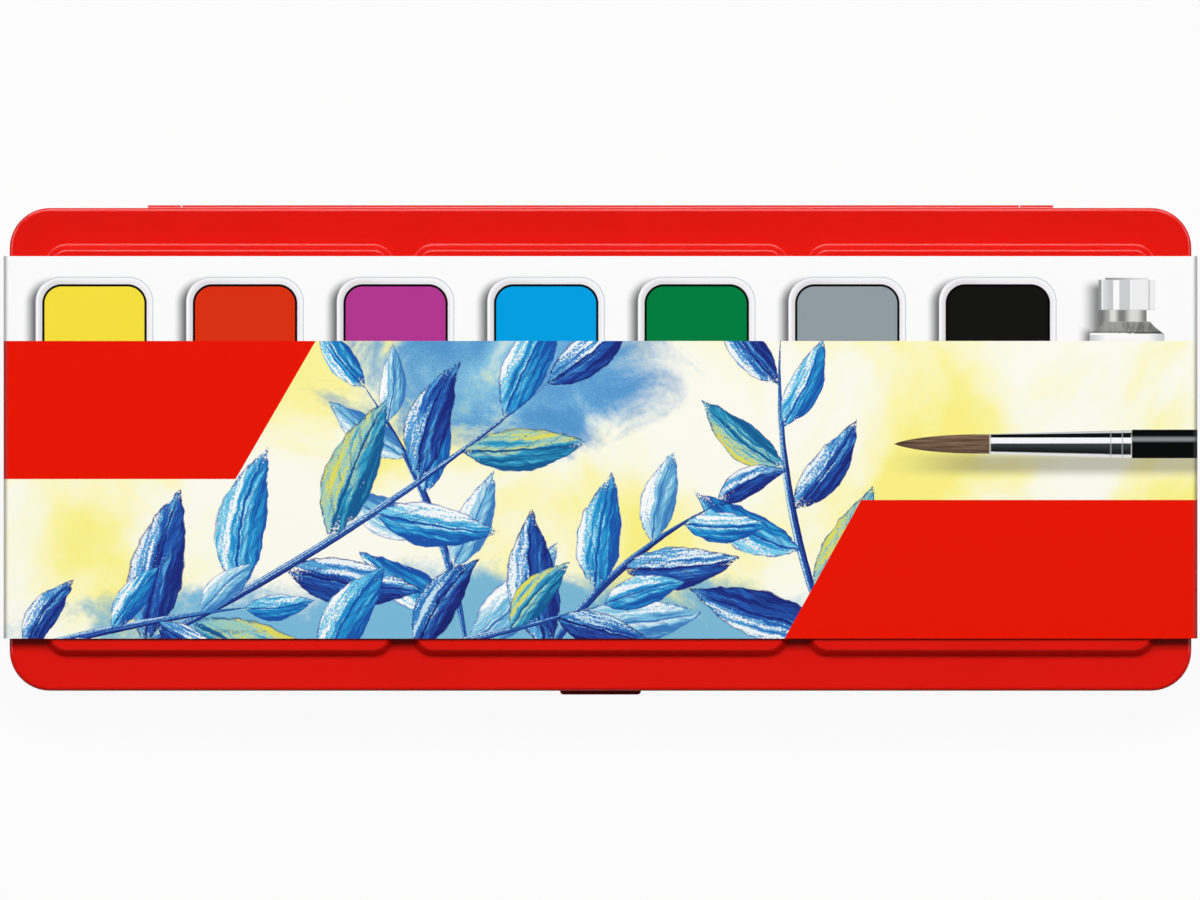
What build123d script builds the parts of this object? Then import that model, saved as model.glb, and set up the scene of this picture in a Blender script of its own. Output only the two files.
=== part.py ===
"""A flat hinged metal box of gouache paints with a printed card wrap over its lid.

Frame: X along the box, Y from its front (thumb lip) to its back (hinge), Z up.
Origin: the middle of the underside of the metal base. All sizes are in millimetres.
"""

from build123d import *
import math
import os

# --- Lid and base, drawn from tinplate -------------------------------------------------
lid_length = 235.0
lid_width = 96.0
corner_radius = 8.0
sheet = 0.3
lid_skirt = 7.0  # from the hinge axis up to the lid's flat
lid_edge_radius = 0.8
hem_height = 1.5  # the skirt's lower edge is folded inwards once
base_floor_radius = 1.5
rim_bead = 1.0  # diameter of the base's curled rim
rim_gap = 0.1  # between that rim and the lid's flat

# --- The three bosses of the lid, whose hollow insides are mixing wells ------------------
boss_height = 2.5
boss_slope = 1.15  # how far the sides lean in over that height
boss_foot_radius = 4.2
boss_edge_radius = 0.5
boss_gap = 3.6
middle_boss_length = 74.8
boss_end_margin = 7.2
boss_side_margin = 7.1
boss_offset = 0.2  # towards the front

# --- Thumb lip in the middle of the lid's front -----------------------------------------
lip_length = 16.1
lip_reach = 0.8
lip_height = 0.9
lip_corner = 0.7

# --- Hinge: two curled leaves on one wire --------------------------------------------------
hinge_height = 10.2
pin_radius = 0.5
pin_clearance = 0.05
leaf_sheet = 0.4
barrel_reach = 0.6  # the barrel shows this far behind the lid
barrel_clearance = 0.1
base_leaf_length = 180.2
end_knuckle = 6.6  # length of the base's knuckle at each end
leaf_drop = 5.0  # from the axis down to the lower edge of the base's leaf
leaf_corner = 1.5
knuckle_gap = 0.2

# --- Card wrap ---------------------------------------------------------------------------
card = 0.4
wrap_width = 76.0
wrap_offset = 0.4  # towards the back
wrap_end_gap = 0.75
wrap_top_gap = 0.35
wrap_hook_gap = 0.15
wrap_hook_clearance = 0.35  # to the base's rim, past which the hooks swing
wrap_fold_radius = 1.0

# --- Moulded tray --------------------------------------------------------------------------
tray_wall = 0.8
tray_clearance = 0.3
deck_height = 10.0

# --- Paint pans and their cakes --------------------------------------------------------------
pan_count = 7
pan_width = 23.3
pan_length = 48.0
pan_corner = 4.8
pan_rim = 1.7
pan_flange = 1.0
pan_depth = 7.8  # below the flange
pan_wall = 0.9
pocket_clearance = 0.2
pan_end_margin = 2.95
pan_back_margin = 4.6
cake_gap = 0.2
cake_sunk = 0.6
cake_edge_radius = 0.3

# --- Paint tube --------------------------------------------------------------------------------
tube_diameter = 14.4
tube_length = 54.8  # from shoulder to crimp
tube_wall = 0.2
shoulder_length = 1.8
neck_diameter = 8.0
neck_length = 7.3
neck_bore = 4.0
crimp_length = 5.2
crimp_thickness = 1.4
paint_gap = 0.05
bay_clearance = 0.5
bay_back_margin = 2.5

# --- Its screw cap -------------------------------------------------------------------------------
cap_diameter = 11.5  # over the edges between its facets
cap_length = 6.5
cap_facets = 10
cap_facet_turn = 9.5  # degrees
cap_facet_round = 0.3
cap_edge = 0.3
cap_disc_diameter = 8.7
cap_disc_height = 0.4
cap_top = 1.0  # thickness of the end wall, with the disc
thread_clearance = 0.1
liner_thickness = 0.6
cap_room = 8.7  # free length of the bay beyond the cap, where it unscrews

# --- Brush -----------------------------------------------------------------------------------------
brush_length = 195.0
tuft_length = 18.3
tuft_radius = 1.93
tuft_root = 8.0
ferrule_length = 28.6
ferrule_tip_radius = 2.0
ferrule_tail_radius = 2.8
ferrule_wall = 0.2
ferrule_bead = 0.18
handle_tenon = 12.0
handle_neck_radius = 2.75
handle_belly_radius = 3.5
handle_tail_radius = 1.5
brush_fit = 0.05
groove_side_room = 2.5
groove_end_room = 2.5
groove_floor = 3.0
rib_width = 2.0
scoop_length = 34.0
scoop_side_margin = 4.3
scoop_corner = 5.0

# --- Worked out from the sizes above -----------------------------------------------------------------
knuckle_radius = pin_radius + pin_clearance + leaf_sheet
barrel_room = knuckle_radius + barrel_clearance
hinge_y = lid_width / 2 + barrel_reach - knuckle_radius
lid_leaf_length = base_leaf_length - 2 * (end_knuckle + knuckle_gap)
base_inset = lid_width / 2 - (hinge_y - barrel_room - leaf_sheet)
base_length = lid_length - 2 * base_inset
base_width = lid_width - 2 * base_inset
base_corner = corner_radius - base_inset
lid_top = hinge_height + lid_skirt
boss_top = lid_top + boss_height
rim_top = lid_top - sheet - rim_gap
boss_width = lid_width - 2 * boss_side_margin
side_boss_length = lid_length / 2 - boss_end_margin - middle_boss_length / 2 - boss_gap
side_boss_x = middle_boss_length / 2 + boss_gap + side_boss_length / 2

tray_length = base_length - 2 * (sheet + tray_clearance)
tray_width = base_width - 2 * (sheet + tray_clearance)
tray_corner = base_corner - sheet - tray_clearance
tray_floor = sheet + tray_wall  # top of a pocket's floor, which lies on the base

pan_y = tray_width / 2 - pan_back_margin - pan_length / 2
pan_front = pan_y - pan_length / 2
cup_inset = 0.7  # the pan's cup is this much narrower than its flange

tube_radius = tube_diameter / 2
crimp_half = math.pi * tube_diameter / 4
bay_back = tray_width / 2 - bay_back_margin
cap_end = bay_back - cap_room
shoulder_y = cap_end - cap_top - liner_thickness - neck_length - shoulder_length
crimp_y = shoulder_y - tube_length
tube_end = crimp_y - crimp_length
bay_front = tube_end - bay_clearance
tube_x = tray_length / 2 - tray_wall - bay_clearance - crimp_half
tube_z = tray_floor + tube_radius + pocket_clearance / 2
bay_half_back = tube_radius + bay_clearance
bay_half_front = crimp_half + bay_clearance
bay_share = (shoulder_y - pan_front) / (shoulder_y - bay_front)
bay_half_at_pans = bay_half_back + (bay_half_front - bay_half_back) * bay_share

first_pan_x = -tray_length / 2 + pan_end_margin + pan_width / 2
last_pan_x = tube_x - bay_half_at_pans - tray_wall - pan_width / 2 - pocket_clearance
pan_pitch = (last_pan_x - first_pan_x) / (pan_count - 1)

brush_y = (pan_front - tray_width / 2) / 2
brush_z = groove_floor + handle_belly_radius + brush_fit
brush_left = -tray_length / 2 + pan_end_margin + groove_end_room
ferrule_x = brush_left + tuft_length
handle_x = ferrule_x + ferrule_length
brush_right = brush_left + brush_length


def block(length, width, height, corner, x=0.0, y=0.0, z=0.0):
    """A block with round upright edges, standing at z."""
    return Pos(x, y, z) * extrude(RectangleRounded(length, width, corner), height)


def x_cylinder(radius, start, end, y, z):
    """A rod along X from start to end."""
    return Pos((start + end) / 2, y, z) * Rot(0, 90, 0) * Cylinder(radius, end - start)


def y_cylinder(radius, start, end, x, z):
    """A rod along Y from start to end."""
    return Pos(x, (start + end) / 2, z) * Rot(90, 0, 0) * Cylinder(radius, end - start)


def spin_about_x(points, start_x, y, z):
    """The solid that an outline of (x, radius) points sweeps about a line along X."""
    outline = Polyline(*[(px, pr) for px, pr in points], close=True)
    return Pos(start_x, y, z) * revolve(Plane.XY * make_face(outline), Axis.X)


# --- Tin --------------------------------------------------------------------------------------------


def boss_places():
    """(x, length) of each boss."""
    return [(-side_boss_x, side_boss_length), (0.0, middle_boss_length), (side_boss_x, side_boss_length)]


def lid_form(inset, height, edge, boss_edge):
    """The lid as a full block: its outside at inset 0, or the hollow inside it at inset sheet."""
    form = block(
        lid_length - 2 * inset, lid_width - 2 * inset, height, corner_radius - inset, z=hinge_height
    )
    form = fillet(form.edges().group_by(Axis.Z)[-1], edge)
    top = hinge_height + height
    lean = math.degrees(math.atan2(boss_slope, boss_height))
    for x, length in boss_places():
        foot = RectangleRounded(length - 2 * inset, boss_width - 2 * inset, boss_foot_radius - inset)
        boss = Pos(x, -boss_offset, top) * extrude(foot, boss_height, taper=lean)
        form += fillet(boss.edges().group_by(Axis.Z)[-1], boss_edge)
    inner_feet = [
        e
        for e in form.edges().filter_by_position(Axis.Z, top - 0.01, top + 0.01)
        if abs(e.center().Y + boss_offset) < boss_width / 2 + 0.01
        and abs(e.center().X) < lid_length / 2 - boss_end_margin + 0.01
    ]
    return fillet(inner_feet, boss_edge)


def thumb_lip():
    """The flared tongue under the middle of the lid's front edge."""
    reach = lip_reach + sheet
    tongue = block(lip_length, 2 * reach, lip_height, lip_corner, 0, -lid_width / 2 + sheet, hinge_height)
    keep = Pos(0, -lid_width / 2 - reach / 2 + sheet, hinge_height) * Box(
        lip_length, reach, 4 * lip_height
    )
    return tongue & keep


def lid_shell():
    """The lid with its skirt, its inward hem, its three bosses and its thumb lip."""
    outside = lid_form(0.0, lid_skirt, lid_edge_radius, boss_edge_radius)
    inside = lid_form(sheet, lid_skirt - sheet, lid_edge_radius - sheet, boss_edge_radius / 2)
    hem = block(
        lid_length - sheet, lid_width - sheet, hem_height, corner_radius - sheet / 2, z=hinge_height
    ) - block(
        lid_length - 4 * sheet, lid_width - 4 * sheet, hem_height, corner_radius - 2 * sheet, z=hinge_height
    )
    lid = outside - inside + hem + thumb_lip()
    notch_length = base_leaf_length + 2 * knuckle_gap
    notch = Pos(0, lid_width / 2, hinge_height) * Box(notch_length, 8 * sheet, 2 * barrel_room)
    hem_notch = Pos(0, lid_width / 2 - 2 * sheet, hinge_height) * Box(
        notch_length, 2 * sheet, 2 * (hem_height + knuckle_gap)
    )
    return lid - notch - hem_notch


def base_shell():
    """The base: floor, walls and a rim curled outwards."""
    outside = block(base_length, base_width, rim_top - rim_bead / 2, base_corner)
    outside = fillet(outside.edges().group_by(Axis.Z)[0], base_floor_radius)
    inside = block(
        base_length - 2 * sheet, base_width - 2 * sheet, rim_top, base_corner - sheet, z=sheet
    )
    inside = fillet(inside.edges().group_by(Axis.Z)[0], base_floor_radius - sheet)
    bead_inset = rim_bead / 2 - sheet
    path = Pos(0, 0, rim_top - rim_bead / 2) * RectangleRounded(
        base_length + 2 * bead_inset, base_width + 2 * bead_inset, base_corner + bead_inset
    )
    ring = path.wire()
    section = Plane(ring @ 0, z_dir=ring % 0) * Circle(rim_bead / 2)
    return outside - inside + sweep(section, path=ring)


# --- Hinge ---------------------------------------------------------------------------------------------


def x_box(start, end, low_y, high_y, low_z, high_z):
    """A box between those limits."""
    return Pos((start + end) / 2, (low_y + high_y) / 2, (low_z + high_z) / 2) * Box(
        end - start, high_y - low_y, high_z - low_z
    )


def curl(start, end):
    """One knuckle, with the bore for the wire."""
    bore = x_cylinder(pin_radius + pin_clearance, start, end, hinge_y, hinge_height)
    return x_cylinder(knuckle_radius, start, end, hinge_y, hinge_height) - bore


def base_hinge_leaf():
    """The leaf on the base's back wall, with a knuckle at each end."""
    half = base_leaf_length / 2
    inner = base_width / 2
    foot = hinge_height - knuckle_radius
    plate = x_box(-half, half, inner, inner + leaf_sheet, hinge_height - leaf_drop, foot + leaf_sheet)
    lower = plate.edges().filter_by(Axis.Y).group_by(Axis.Z)[0]
    leaf = fillet(lower, leaf_corner)
    for start, end in ((-half, end_knuckle - half), (half - end_knuckle, half)):
        leaf += x_box(start, end, inner, hinge_y, foot, foot + leaf_sheet)
        leaf += curl(start, end)
    return leaf


def lid_hinge_leaf():
    """The leaf inside the back of the lid's skirt, curled into one long knuckle."""
    half = lid_leaf_length / 2
    outer = lid_width / 2 - sheet
    foot = hinge_height + knuckle_radius - leaf_sheet
    plate = x_box(-half, half, outer - leaf_sheet, outer, foot, lid_top - lid_edge_radius)
    upper = plate.edges().filter_by(Axis.Y).group_by(Axis.Z)[-1]
    return fillet(upper, leaf_corner) + curl(-half, half)


def hinge_pin():
    """The wire through the knuckles."""
    half = base_leaf_length / 2
    pin = x_cylinder(pin_radius, -half, half, hinge_y, hinge_height)
    return chamfer(pin.edges().filter_by(GeomType.CIRCLE), pin_radius / 4)


# --- Card wrap -----------------------------------------------------------------------------------------


def card_wrap():
    """The printed card: over the lid, down both ends, and hooked under the lid's hem."""
    inner_x = lid_length / 2 + wrap_end_gap
    outer_x = inner_x + card
    inner_z = boss_top + wrap_top_gap
    outer_z = inner_z + card
    hook_top = hinge_height - wrap_hook_gap
    hook_x = base_length / 2 - sheet + rim_bead + wrap_hook_clearance
    outside = Pos(0, (outer_z + hook_top - card) / 2) * RectangleRounded(
        2 * outer_x, outer_z - hook_top + card, wrap_fold_radius
    )
    inside = Pos(0, (inner_z + hook_top) / 2) * RectangleRounded(
        2 * inner_x, inner_z - hook_top, wrap_fold_radius - card
    )
    mouth = Pos(0, hook_top - card) * Rectangle(2 * hook_x, 4 * card)
    section = Plane.XZ * (outside - inside - mouth)
    return Pos(0, wrap_offset + wrap_width / 2, 0) * extrude(section, wrap_width)


# --- Tray -----------------------------------------------------------------------------------------------


def pan_places():
    """X of each pan's middle."""
    return [first_pan_x + i * pan_pitch for i in range(pan_count)]


def bay_outline(grow):
    """The tube's bay seen from above, wider where the tube is crimped flat."""
    back, front = bay_back + grow, bay_front - grow
    half_back, half_front = bay_half_back + grow, bay_half_front + grow
    points = [
        (tube_x - half_back, back),
        (tube_x + half_back, back),
        (tube_x + half_back, shoulder_y),
        (tube_x + half_front, crimp_y),
        (tube_x + half_front, front),
        (tube_x - half_front, front),
        (tube_x - half_front, crimp_y),
        (tube_x - half_back, shoulder_y),
    ]
    return make_face(Polyline(*points, close=True))


def groove_block(grow, bottom):
    """The brush's groove, grown by a wall and down to bottom."""
    left = brush_left - groove_end_room - grow
    right = brush_right + groove_end_room + grow
    width = 2 * (handle_belly_radius + groove_side_room + grow)
    corner = width * 0.4
    return block(
        right - left, width, deck_height - bottom, corner, (left + right) / 2, brush_y, bottom
    )


def scoop_block(grow, bottom):
    """The finger scoop across the groove."""
    width = pan_front + tray_width / 2 - 2 * scoop_side_margin
    middle = (brush_left + brush_right) / 2
    return block(
        scoop_length + 2 * grow,
        width + 2 * grow,
        deck_height - bottom,
        scoop_corner + grow,
        middle,
        brush_y,
        bottom,
    )


def rib(x, radius):
    """A cradle across the groove, cut round to the brush at x."""
    width = 2 * (handle_belly_radius + groove_side_room)
    bottom = groove_floor - tray_wall / 2
    plate = Pos(x, brush_y, (bottom + brush_z) / 2) * Box(rib_width, width, brush_z - bottom)
    return plate - x_cylinder(radius + brush_fit, x - rib_width, x + rib_width, brush_y, brush_z)


def pan_tray():
    """The white moulding that holds the pans, the tube and the brush."""
    height = deck_height - sheet
    tray = block(tray_length, tray_width, height, tray_corner, z=sheet)
    tray -= block(
        tray_length - 2 * tray_wall,
        tray_width - 2 * tray_wall,
        height - tray_wall,
        tray_corner - tray_wall,
        z=sheet,
    )
    pocket_width = pan_width - 2 * cup_inset + 2 * pocket_clearance
    pocket_length = pan_length - 2 * cup_inset + 2 * pocket_clearance
    pocket_corner = pan_corner - cup_inset + pocket_clearance
    for x in pan_places():
        tray += block(
            pocket_width + 2 * tray_wall,
            pocket_length + 2 * tray_wall,
            height,
            pocket_corner + tray_wall,
            x,
            pan_y,
            sheet,
        )
    tray += Pos(0, 0, sheet) * extrude(bay_outline(tray_wall), height)
    tray += groove_block(tray_wall, groove_floor - tray_wall) + scoop_block(tray_wall, sheet)
    for x in pan_places():
        tray -= block(pocket_width, pocket_length, height, pocket_corner, x, pan_y, tray_floor)
    tray -= Pos(0, 0, tray_floor) * extrude(bay_outline(0.0), height)
    tray -= groove_block(0.0, groove_floor) + scoop_block(0.0, tray_floor)
    ledge_top = tube_z - crimp_thickness / 2 - brush_fit
    tray += Pos(tube_x, (tube_end + crimp_y) / 2, (tray_floor + ledge_top) / 2) * Box(
        2 * bay_half_front, crimp_length / 2, ledge_top - tray_floor
    )
    tray += rib(ferrule_x + ferrule_length / 2, (ferrule_tip_radius + ferrule_tail_radius) / 2)
    envelope = block(tray_length, tray_width, height, tray_corner, z=sheet)
    return tray & fillet(envelope.edges().group_by(Axis.Z)[0], base_floor_radius)


# --- Pans and cakes ----------------------------------------------------------------------------------------


def pan(x):
    """One white pan: a cup with a flange that rests on the tray's deck."""
    cup = block(
        pan_width - 2 * cup_inset,
        pan_length - 2 * cup_inset,
        pan_depth,
        pan_corner - cup_inset,
        x,
        pan_y,
        deck_height - pan_depth,
    )
    flange = block(pan_width, pan_length, pan_flange, pan_corner, x, pan_y, deck_height)
    flange = fillet(flange.edges().group_by(Axis.Z)[-1], pan_flange / 2)
    hollow = block(
        pan_width - 2 * pan_rim,
        pan_length - 2 * pan_rim,
        pan_depth + 2 * pan_flange,
        pan_corner - pan_rim,
        x,
        pan_y,
        deck_height - pan_depth + pan_wall,
    )
    return cup + flange - hollow


def cake(x):
    """The pressed cake of paint in a pan."""
    bottom = deck_height - pan_depth + pan_wall
    height = deck_height + pan_flange - cake_sunk - bottom
    body = block(
        pan_width - 2 * pan_rim - 2 * cake_gap,
        pan_length - 2 * pan_rim - 2 * cake_gap,
        height,
        pan_corner - pan_rim - cake_gap,
        x,
        pan_y,
        bottom,
    )
    return fillet(body.edges().group_by(Axis.Z)[-1], cake_edge_radius)


# --- Tube ----------------------------------------------------------------------------------------------------


def tube_slice(share, inset):
    """The tube's section at a share of the way from its shoulder to its crimp."""
    flat = crimp_thickness / 2
    half_width = tube_radius + (crimp_half - tube_radius) * share - inset
    half_height = tube_radius + (flat - tube_radius) * share - inset * (1 - share / 2)
    place = Plane((tube_x, shoulder_y - share * tube_length, tube_z), x_dir=(1, 0, 0), z_dir=(0, 1, 0))
    return place * Ellipse(half_width, half_height)


def tube_form(inset, shares):
    """The squeezable part as a full body."""
    return loft([tube_slice(share, inset) for share in shares])


def shoulder_form(inset):
    """The cone between body and neck."""
    big = Plane((tube_x, shoulder_y, tube_z), z_dir=(0, 1, 0)) * Circle(tube_radius - inset)
    small = Plane((tube_x, shoulder_y + shoulder_length, tube_z), z_dir=(0, 1, 0)) * Circle(
        neck_diameter / 2 - inset
    )
    return loft([big, small])


def tube_body():
    """The aluminium tube: crimp, body, shoulder and bored neck."""
    neck_start = shoulder_y + shoulder_length
    neck_end = neck_start + neck_length
    tube = tube_form(0.0, (0.0, 0.25, 0.5, 0.75, 1.0)) + shoulder_form(0.0)
    tube += y_cylinder(neck_diameter / 2, neck_start, neck_end, tube_x, tube_z)
    crimp_middle = crimp_y - crimp_length / 2
    crimp = Pos(tube_x, crimp_middle, tube_z) * Box(2 * crimp_half, crimp_length, crimp_thickness)
    tube += crimp
    tube -= tube_form(tube_wall, (0.0, 0.3, 0.6, 0.9))
    tube -= shoulder_form(tube_wall * 2)
    return tube - y_cylinder(neck_bore / 2, shoulder_y, neck_end + 1, tube_x, tube_z)


def tube_paint():
    """The white gouache that fills the tube."""
    return tube_form(tube_wall + paint_gap, (0.0, 0.3, 0.6, 0.85))


def cap_liner():
    """The sealing disc between the neck's mouth and the cap's top."""
    mouth = cap_end - cap_top - liner_thickness
    return y_cylinder(neck_diameter / 2, mouth, mouth + liner_thickness, tube_x, tube_z)


def tube_cap():
    """The ten-sided screw cap, with a low disc on its end."""
    start = cap_end - cap_length
    foot = Plane((tube_x, start, tube_z), x_dir=(1, 0, 0), z_dir=(0, 1, 0))
    outline = foot * RegularPolygon(cap_diameter / 2, cap_facets, rotation=cap_facet_turn)
    cap = extrude(outline, cap_length - cap_disc_height)
    cap = fillet(cap.edges().filter_by(Axis.Y), cap_facet_round)
    cap = fillet(cap.edges().group_by(Axis.Y)[-1], cap_edge)
    cap += y_cylinder(cap_disc_diameter / 2, start, cap_end, tube_x, tube_z)
    bore = neck_diameter / 2 + thread_clearance
    return cap - y_cylinder(bore, start - 1, cap_end - cap_top, tube_x, tube_z)


# --- Brush -----------------------------------------------------------------------------------------------------


def brush_tuft():
    """The pointed hair tuft with its root inside the ferrule."""
    tip_radius = 0.12
    root = ferrule_tip_radius - ferrule_wall - brush_fit
    belly_at = tuft_length * 0.62
    side = Spline(
        (0, tip_radius),
        (tuft_length * 0.3, tuft_radius * 0.72),
        (belly_at, tuft_radius),
        (tuft_length, root),
    )
    line = Polyline(
        (tuft_length, root), (tuft_length + tuft_root, root), (tuft_length + tuft_root, 0), (0, 0), (0, tip_radius)
    )
    return Pos(brush_left, brush_y, brush_z) * revolve(make_face(side + line), Axis.X)


def brush_ferrule():
    """The plated ferrule with two crimped beads."""
    def radius(share):
        return ferrule_tip_radius + (ferrule_tail_radius - ferrule_tip_radius) * share

    outline = [(0, radius(0))]
    for share in (0.845, 0.925):
        x, half = share * ferrule_length, ferrule_bead * 2
        outline += [(x - half, radius(share)), (x, radius(share) + ferrule_bead), (x + half, radius(share))]
    outline += [(ferrule_length, radius(1)), (ferrule_length, radius(1) - ferrule_wall), (0, radius(0) - ferrule_wall)]
    return spin_about_x(outline, ferrule_x, brush_y, brush_z)


def brush_handle():
    """The lacquered handle with its tenon inside the ferrule."""
    length = brush_right - handle_x
    tenon = ferrule_tip_radius - ferrule_wall - brush_fit
    side = Spline(
        (0, handle_neck_radius),
        (length * 0.2, handle_belly_radius),
        (length * 0.55, handle_belly_radius * 0.72),
        (length - handle_tail_radius, handle_tail_radius),
    )
    tail = CenterArc((length - handle_tail_radius, 0), handle_tail_radius, 0, 90)
    line = Polyline(
        (length, 0), (-handle_tenon, 0), (-handle_tenon, tenon), (0, tenon), (0, handle_neck_radius)
    )
    return Pos(handle_x, brush_y, brush_z) * revolve(make_face(side + tail + line), Axis.X)


def main():
    """Writes one STEP file for each piece."""
    pieces = {
        "tin_base": base_shell(),
        "base_hinge_leaf": base_hinge_leaf(),
        "lid_shell": lid_shell(),
        "lid_hinge_leaf": lid_hinge_leaf(),
        "hinge_pin": hinge_pin(),
        "card_wrap": card_wrap(),
        "pan_tray": pan_tray(),
        "tube_body": tube_body(),
        "tube_paint": tube_paint(),
        "cap_liner": cap_liner(),
        "tube_cap": tube_cap(),
        "brush_tuft": brush_tuft(),
        "brush_ferrule": brush_ferrule(),
        "brush_handle": brush_handle(),
    }
    colours = ("yellow", "vermilion", "magenta", "cyan", "green", "grey", "black")
    for colour, x in zip(colours, pan_places()):
        pieces["pan_" + colour] = pan(x)
        pieces["cake_" + colour] = cake(x)
    os.makedirs("parts", exist_ok=True)
    for name, piece in pieces.items():
        export_step(piece, "parts/" + name + ".step")


main()
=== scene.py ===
"""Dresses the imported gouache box: lacquered tin, printed card wrap, tray, pans, tube and brush.

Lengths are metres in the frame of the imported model: X along the box, Y towards its hinge, Z up.
The card's print is laid out in millimetres of the unrolled card.
"""

import logging
import math
import random
from dataclasses import dataclass
from enum import Enum
from typing import Callable, Sequence

import bmesh
import bpy
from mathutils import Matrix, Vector


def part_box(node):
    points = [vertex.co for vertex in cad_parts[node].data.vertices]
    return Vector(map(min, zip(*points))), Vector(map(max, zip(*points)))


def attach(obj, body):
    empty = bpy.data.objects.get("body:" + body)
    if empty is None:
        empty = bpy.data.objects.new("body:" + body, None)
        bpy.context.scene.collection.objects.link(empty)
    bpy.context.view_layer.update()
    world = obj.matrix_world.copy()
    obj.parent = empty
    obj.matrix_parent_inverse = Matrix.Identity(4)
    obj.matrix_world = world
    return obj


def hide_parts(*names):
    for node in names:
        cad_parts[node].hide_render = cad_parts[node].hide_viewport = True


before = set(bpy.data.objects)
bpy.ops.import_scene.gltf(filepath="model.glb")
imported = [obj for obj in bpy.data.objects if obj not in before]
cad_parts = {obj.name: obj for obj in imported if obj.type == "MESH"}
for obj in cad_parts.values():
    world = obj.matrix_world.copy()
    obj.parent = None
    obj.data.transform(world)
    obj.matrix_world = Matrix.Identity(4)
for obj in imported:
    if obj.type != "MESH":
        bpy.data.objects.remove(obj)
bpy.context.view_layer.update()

log = logging.getLogger("gouache_box")
MM = 0.001
Colour = tuple[float, float, float]


def srgb(*screen: int) -> Colour:
    """The linear colour of a screen colour.

    Args:
        *screen: red, green and blue from 0 to 255, or one number for a grey.

    Returns:
        The three linear values.
    """
    shares = [value / 255 for value in screen * (3 // len(screen))]
    return tuple(s / 12.92 if s <= 0.04045 else ((s + 0.055) / 1.055) ** 2.4 for s in shares)


def toned(colour: Colour, factor: float, lift: float = 0.0) -> Colour:
    """A lighter or darker version of a colour, at most white."""
    return tuple(min(1.0, part * factor + lift) for part in colour)


# --- Shader graphs -----------------------------------------------------------------------------


@dataclass(frozen=True)
class Signal:
    """A value, colour or vector that runs from one shader node to the next."""

    graph: "Graph"
    socket: bpy.types.NodeSocket

    def __add__(self, other: "Signal | float") -> "Signal":
        """The sum of two signals."""
        return self.graph.math("ADD", self, other)

    def __sub__(self, other: "Signal | float") -> "Signal":
        """The difference of two signals."""
        return self.graph.math("SUBTRACT", self, other)

    def __rsub__(self, other: float) -> "Signal":
        """What is left of a number when the signal is taken from it."""
        return self.graph.math("SUBTRACT", other, self)

    def __mul__(self, other: "Signal | float") -> "Signal":
        """The product of two signals."""
        return self.graph.math("MULTIPLY", self, other)

    def __truediv__(self, other: "Signal | float") -> "Signal":
        """The quotient of two signals."""
        return self.graph.math("DIVIDE", self, other)

    def size(self) -> "Signal":
        """The value without its sign."""
        return self.graph.math("ABSOLUTE", self)

    def at_least(self, other: "Signal | float") -> "Signal":
        """The larger of two signals."""
        return self.graph.math("MAXIMUM", self, other)

    def at_most(self, other: "Signal | float") -> "Signal":
        """The smaller of two signals."""
        return self.graph.math("MINIMUM", self, other)

    def rising(self, start: float, end: float) -> "Signal":
        """A smooth step of the value.

        Args:
            start, end: where the step is 0 and where it is 1. It falls where start is above end.

        Returns:
            The step.
        """
        if start > end:
            return 1.0 - self.rising(end, start)
        inputs = {"Value": self, "From Min": start, "From Max": end}
        return self.graph.signal("ShaderNodeMapRange", "Result", inputs, interpolation_type="SMOOTHSTEP")

    def near(self, middle: float, outer: float, inner: float) -> "Signal":
        """1 closer to a middle than inner, and 0 past outer."""
        return (self - middle).size().rising(outer, inner)

    def below(self, limit: "Signal | float", soft: float) -> "Signal":
        """1 below a limit with a soft edge, and 0 above it."""
        return (self - limit).rising(soft, -soft)

    def above(self, limit: "Signal | float", soft: float) -> "Signal":
        """1 above a limit with a soft edge, and 0 below it."""
        return (self - limit).rising(-soft, soft)

    def mix(self, first: "Signal | Colour", second: "Signal | Colour") -> "Signal":
        """The colour that goes from first to second as the value goes from 0 to 1."""
        inputs = {Graph.mix_share: self, Graph.mix_first: first, Graph.mix_second: second}
        return self.graph.signal("ShaderNodeMix", Graph.mix_result, inputs, data_type="RGBA")


def coats(under: Signal | Colour, *layers: tuple[Signal, Signal | Colour]) -> Signal:
    """Colours laid over one another like coats of paint.

    Args:
        under: the colour below.
        *layers: a mask and a colour for each coat, from the lowest to the highest.

    Returns:
        The colour that shows.
    """
    for mask, colour in layers:
        under = mask.mix(under, colour)
    return under


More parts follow.
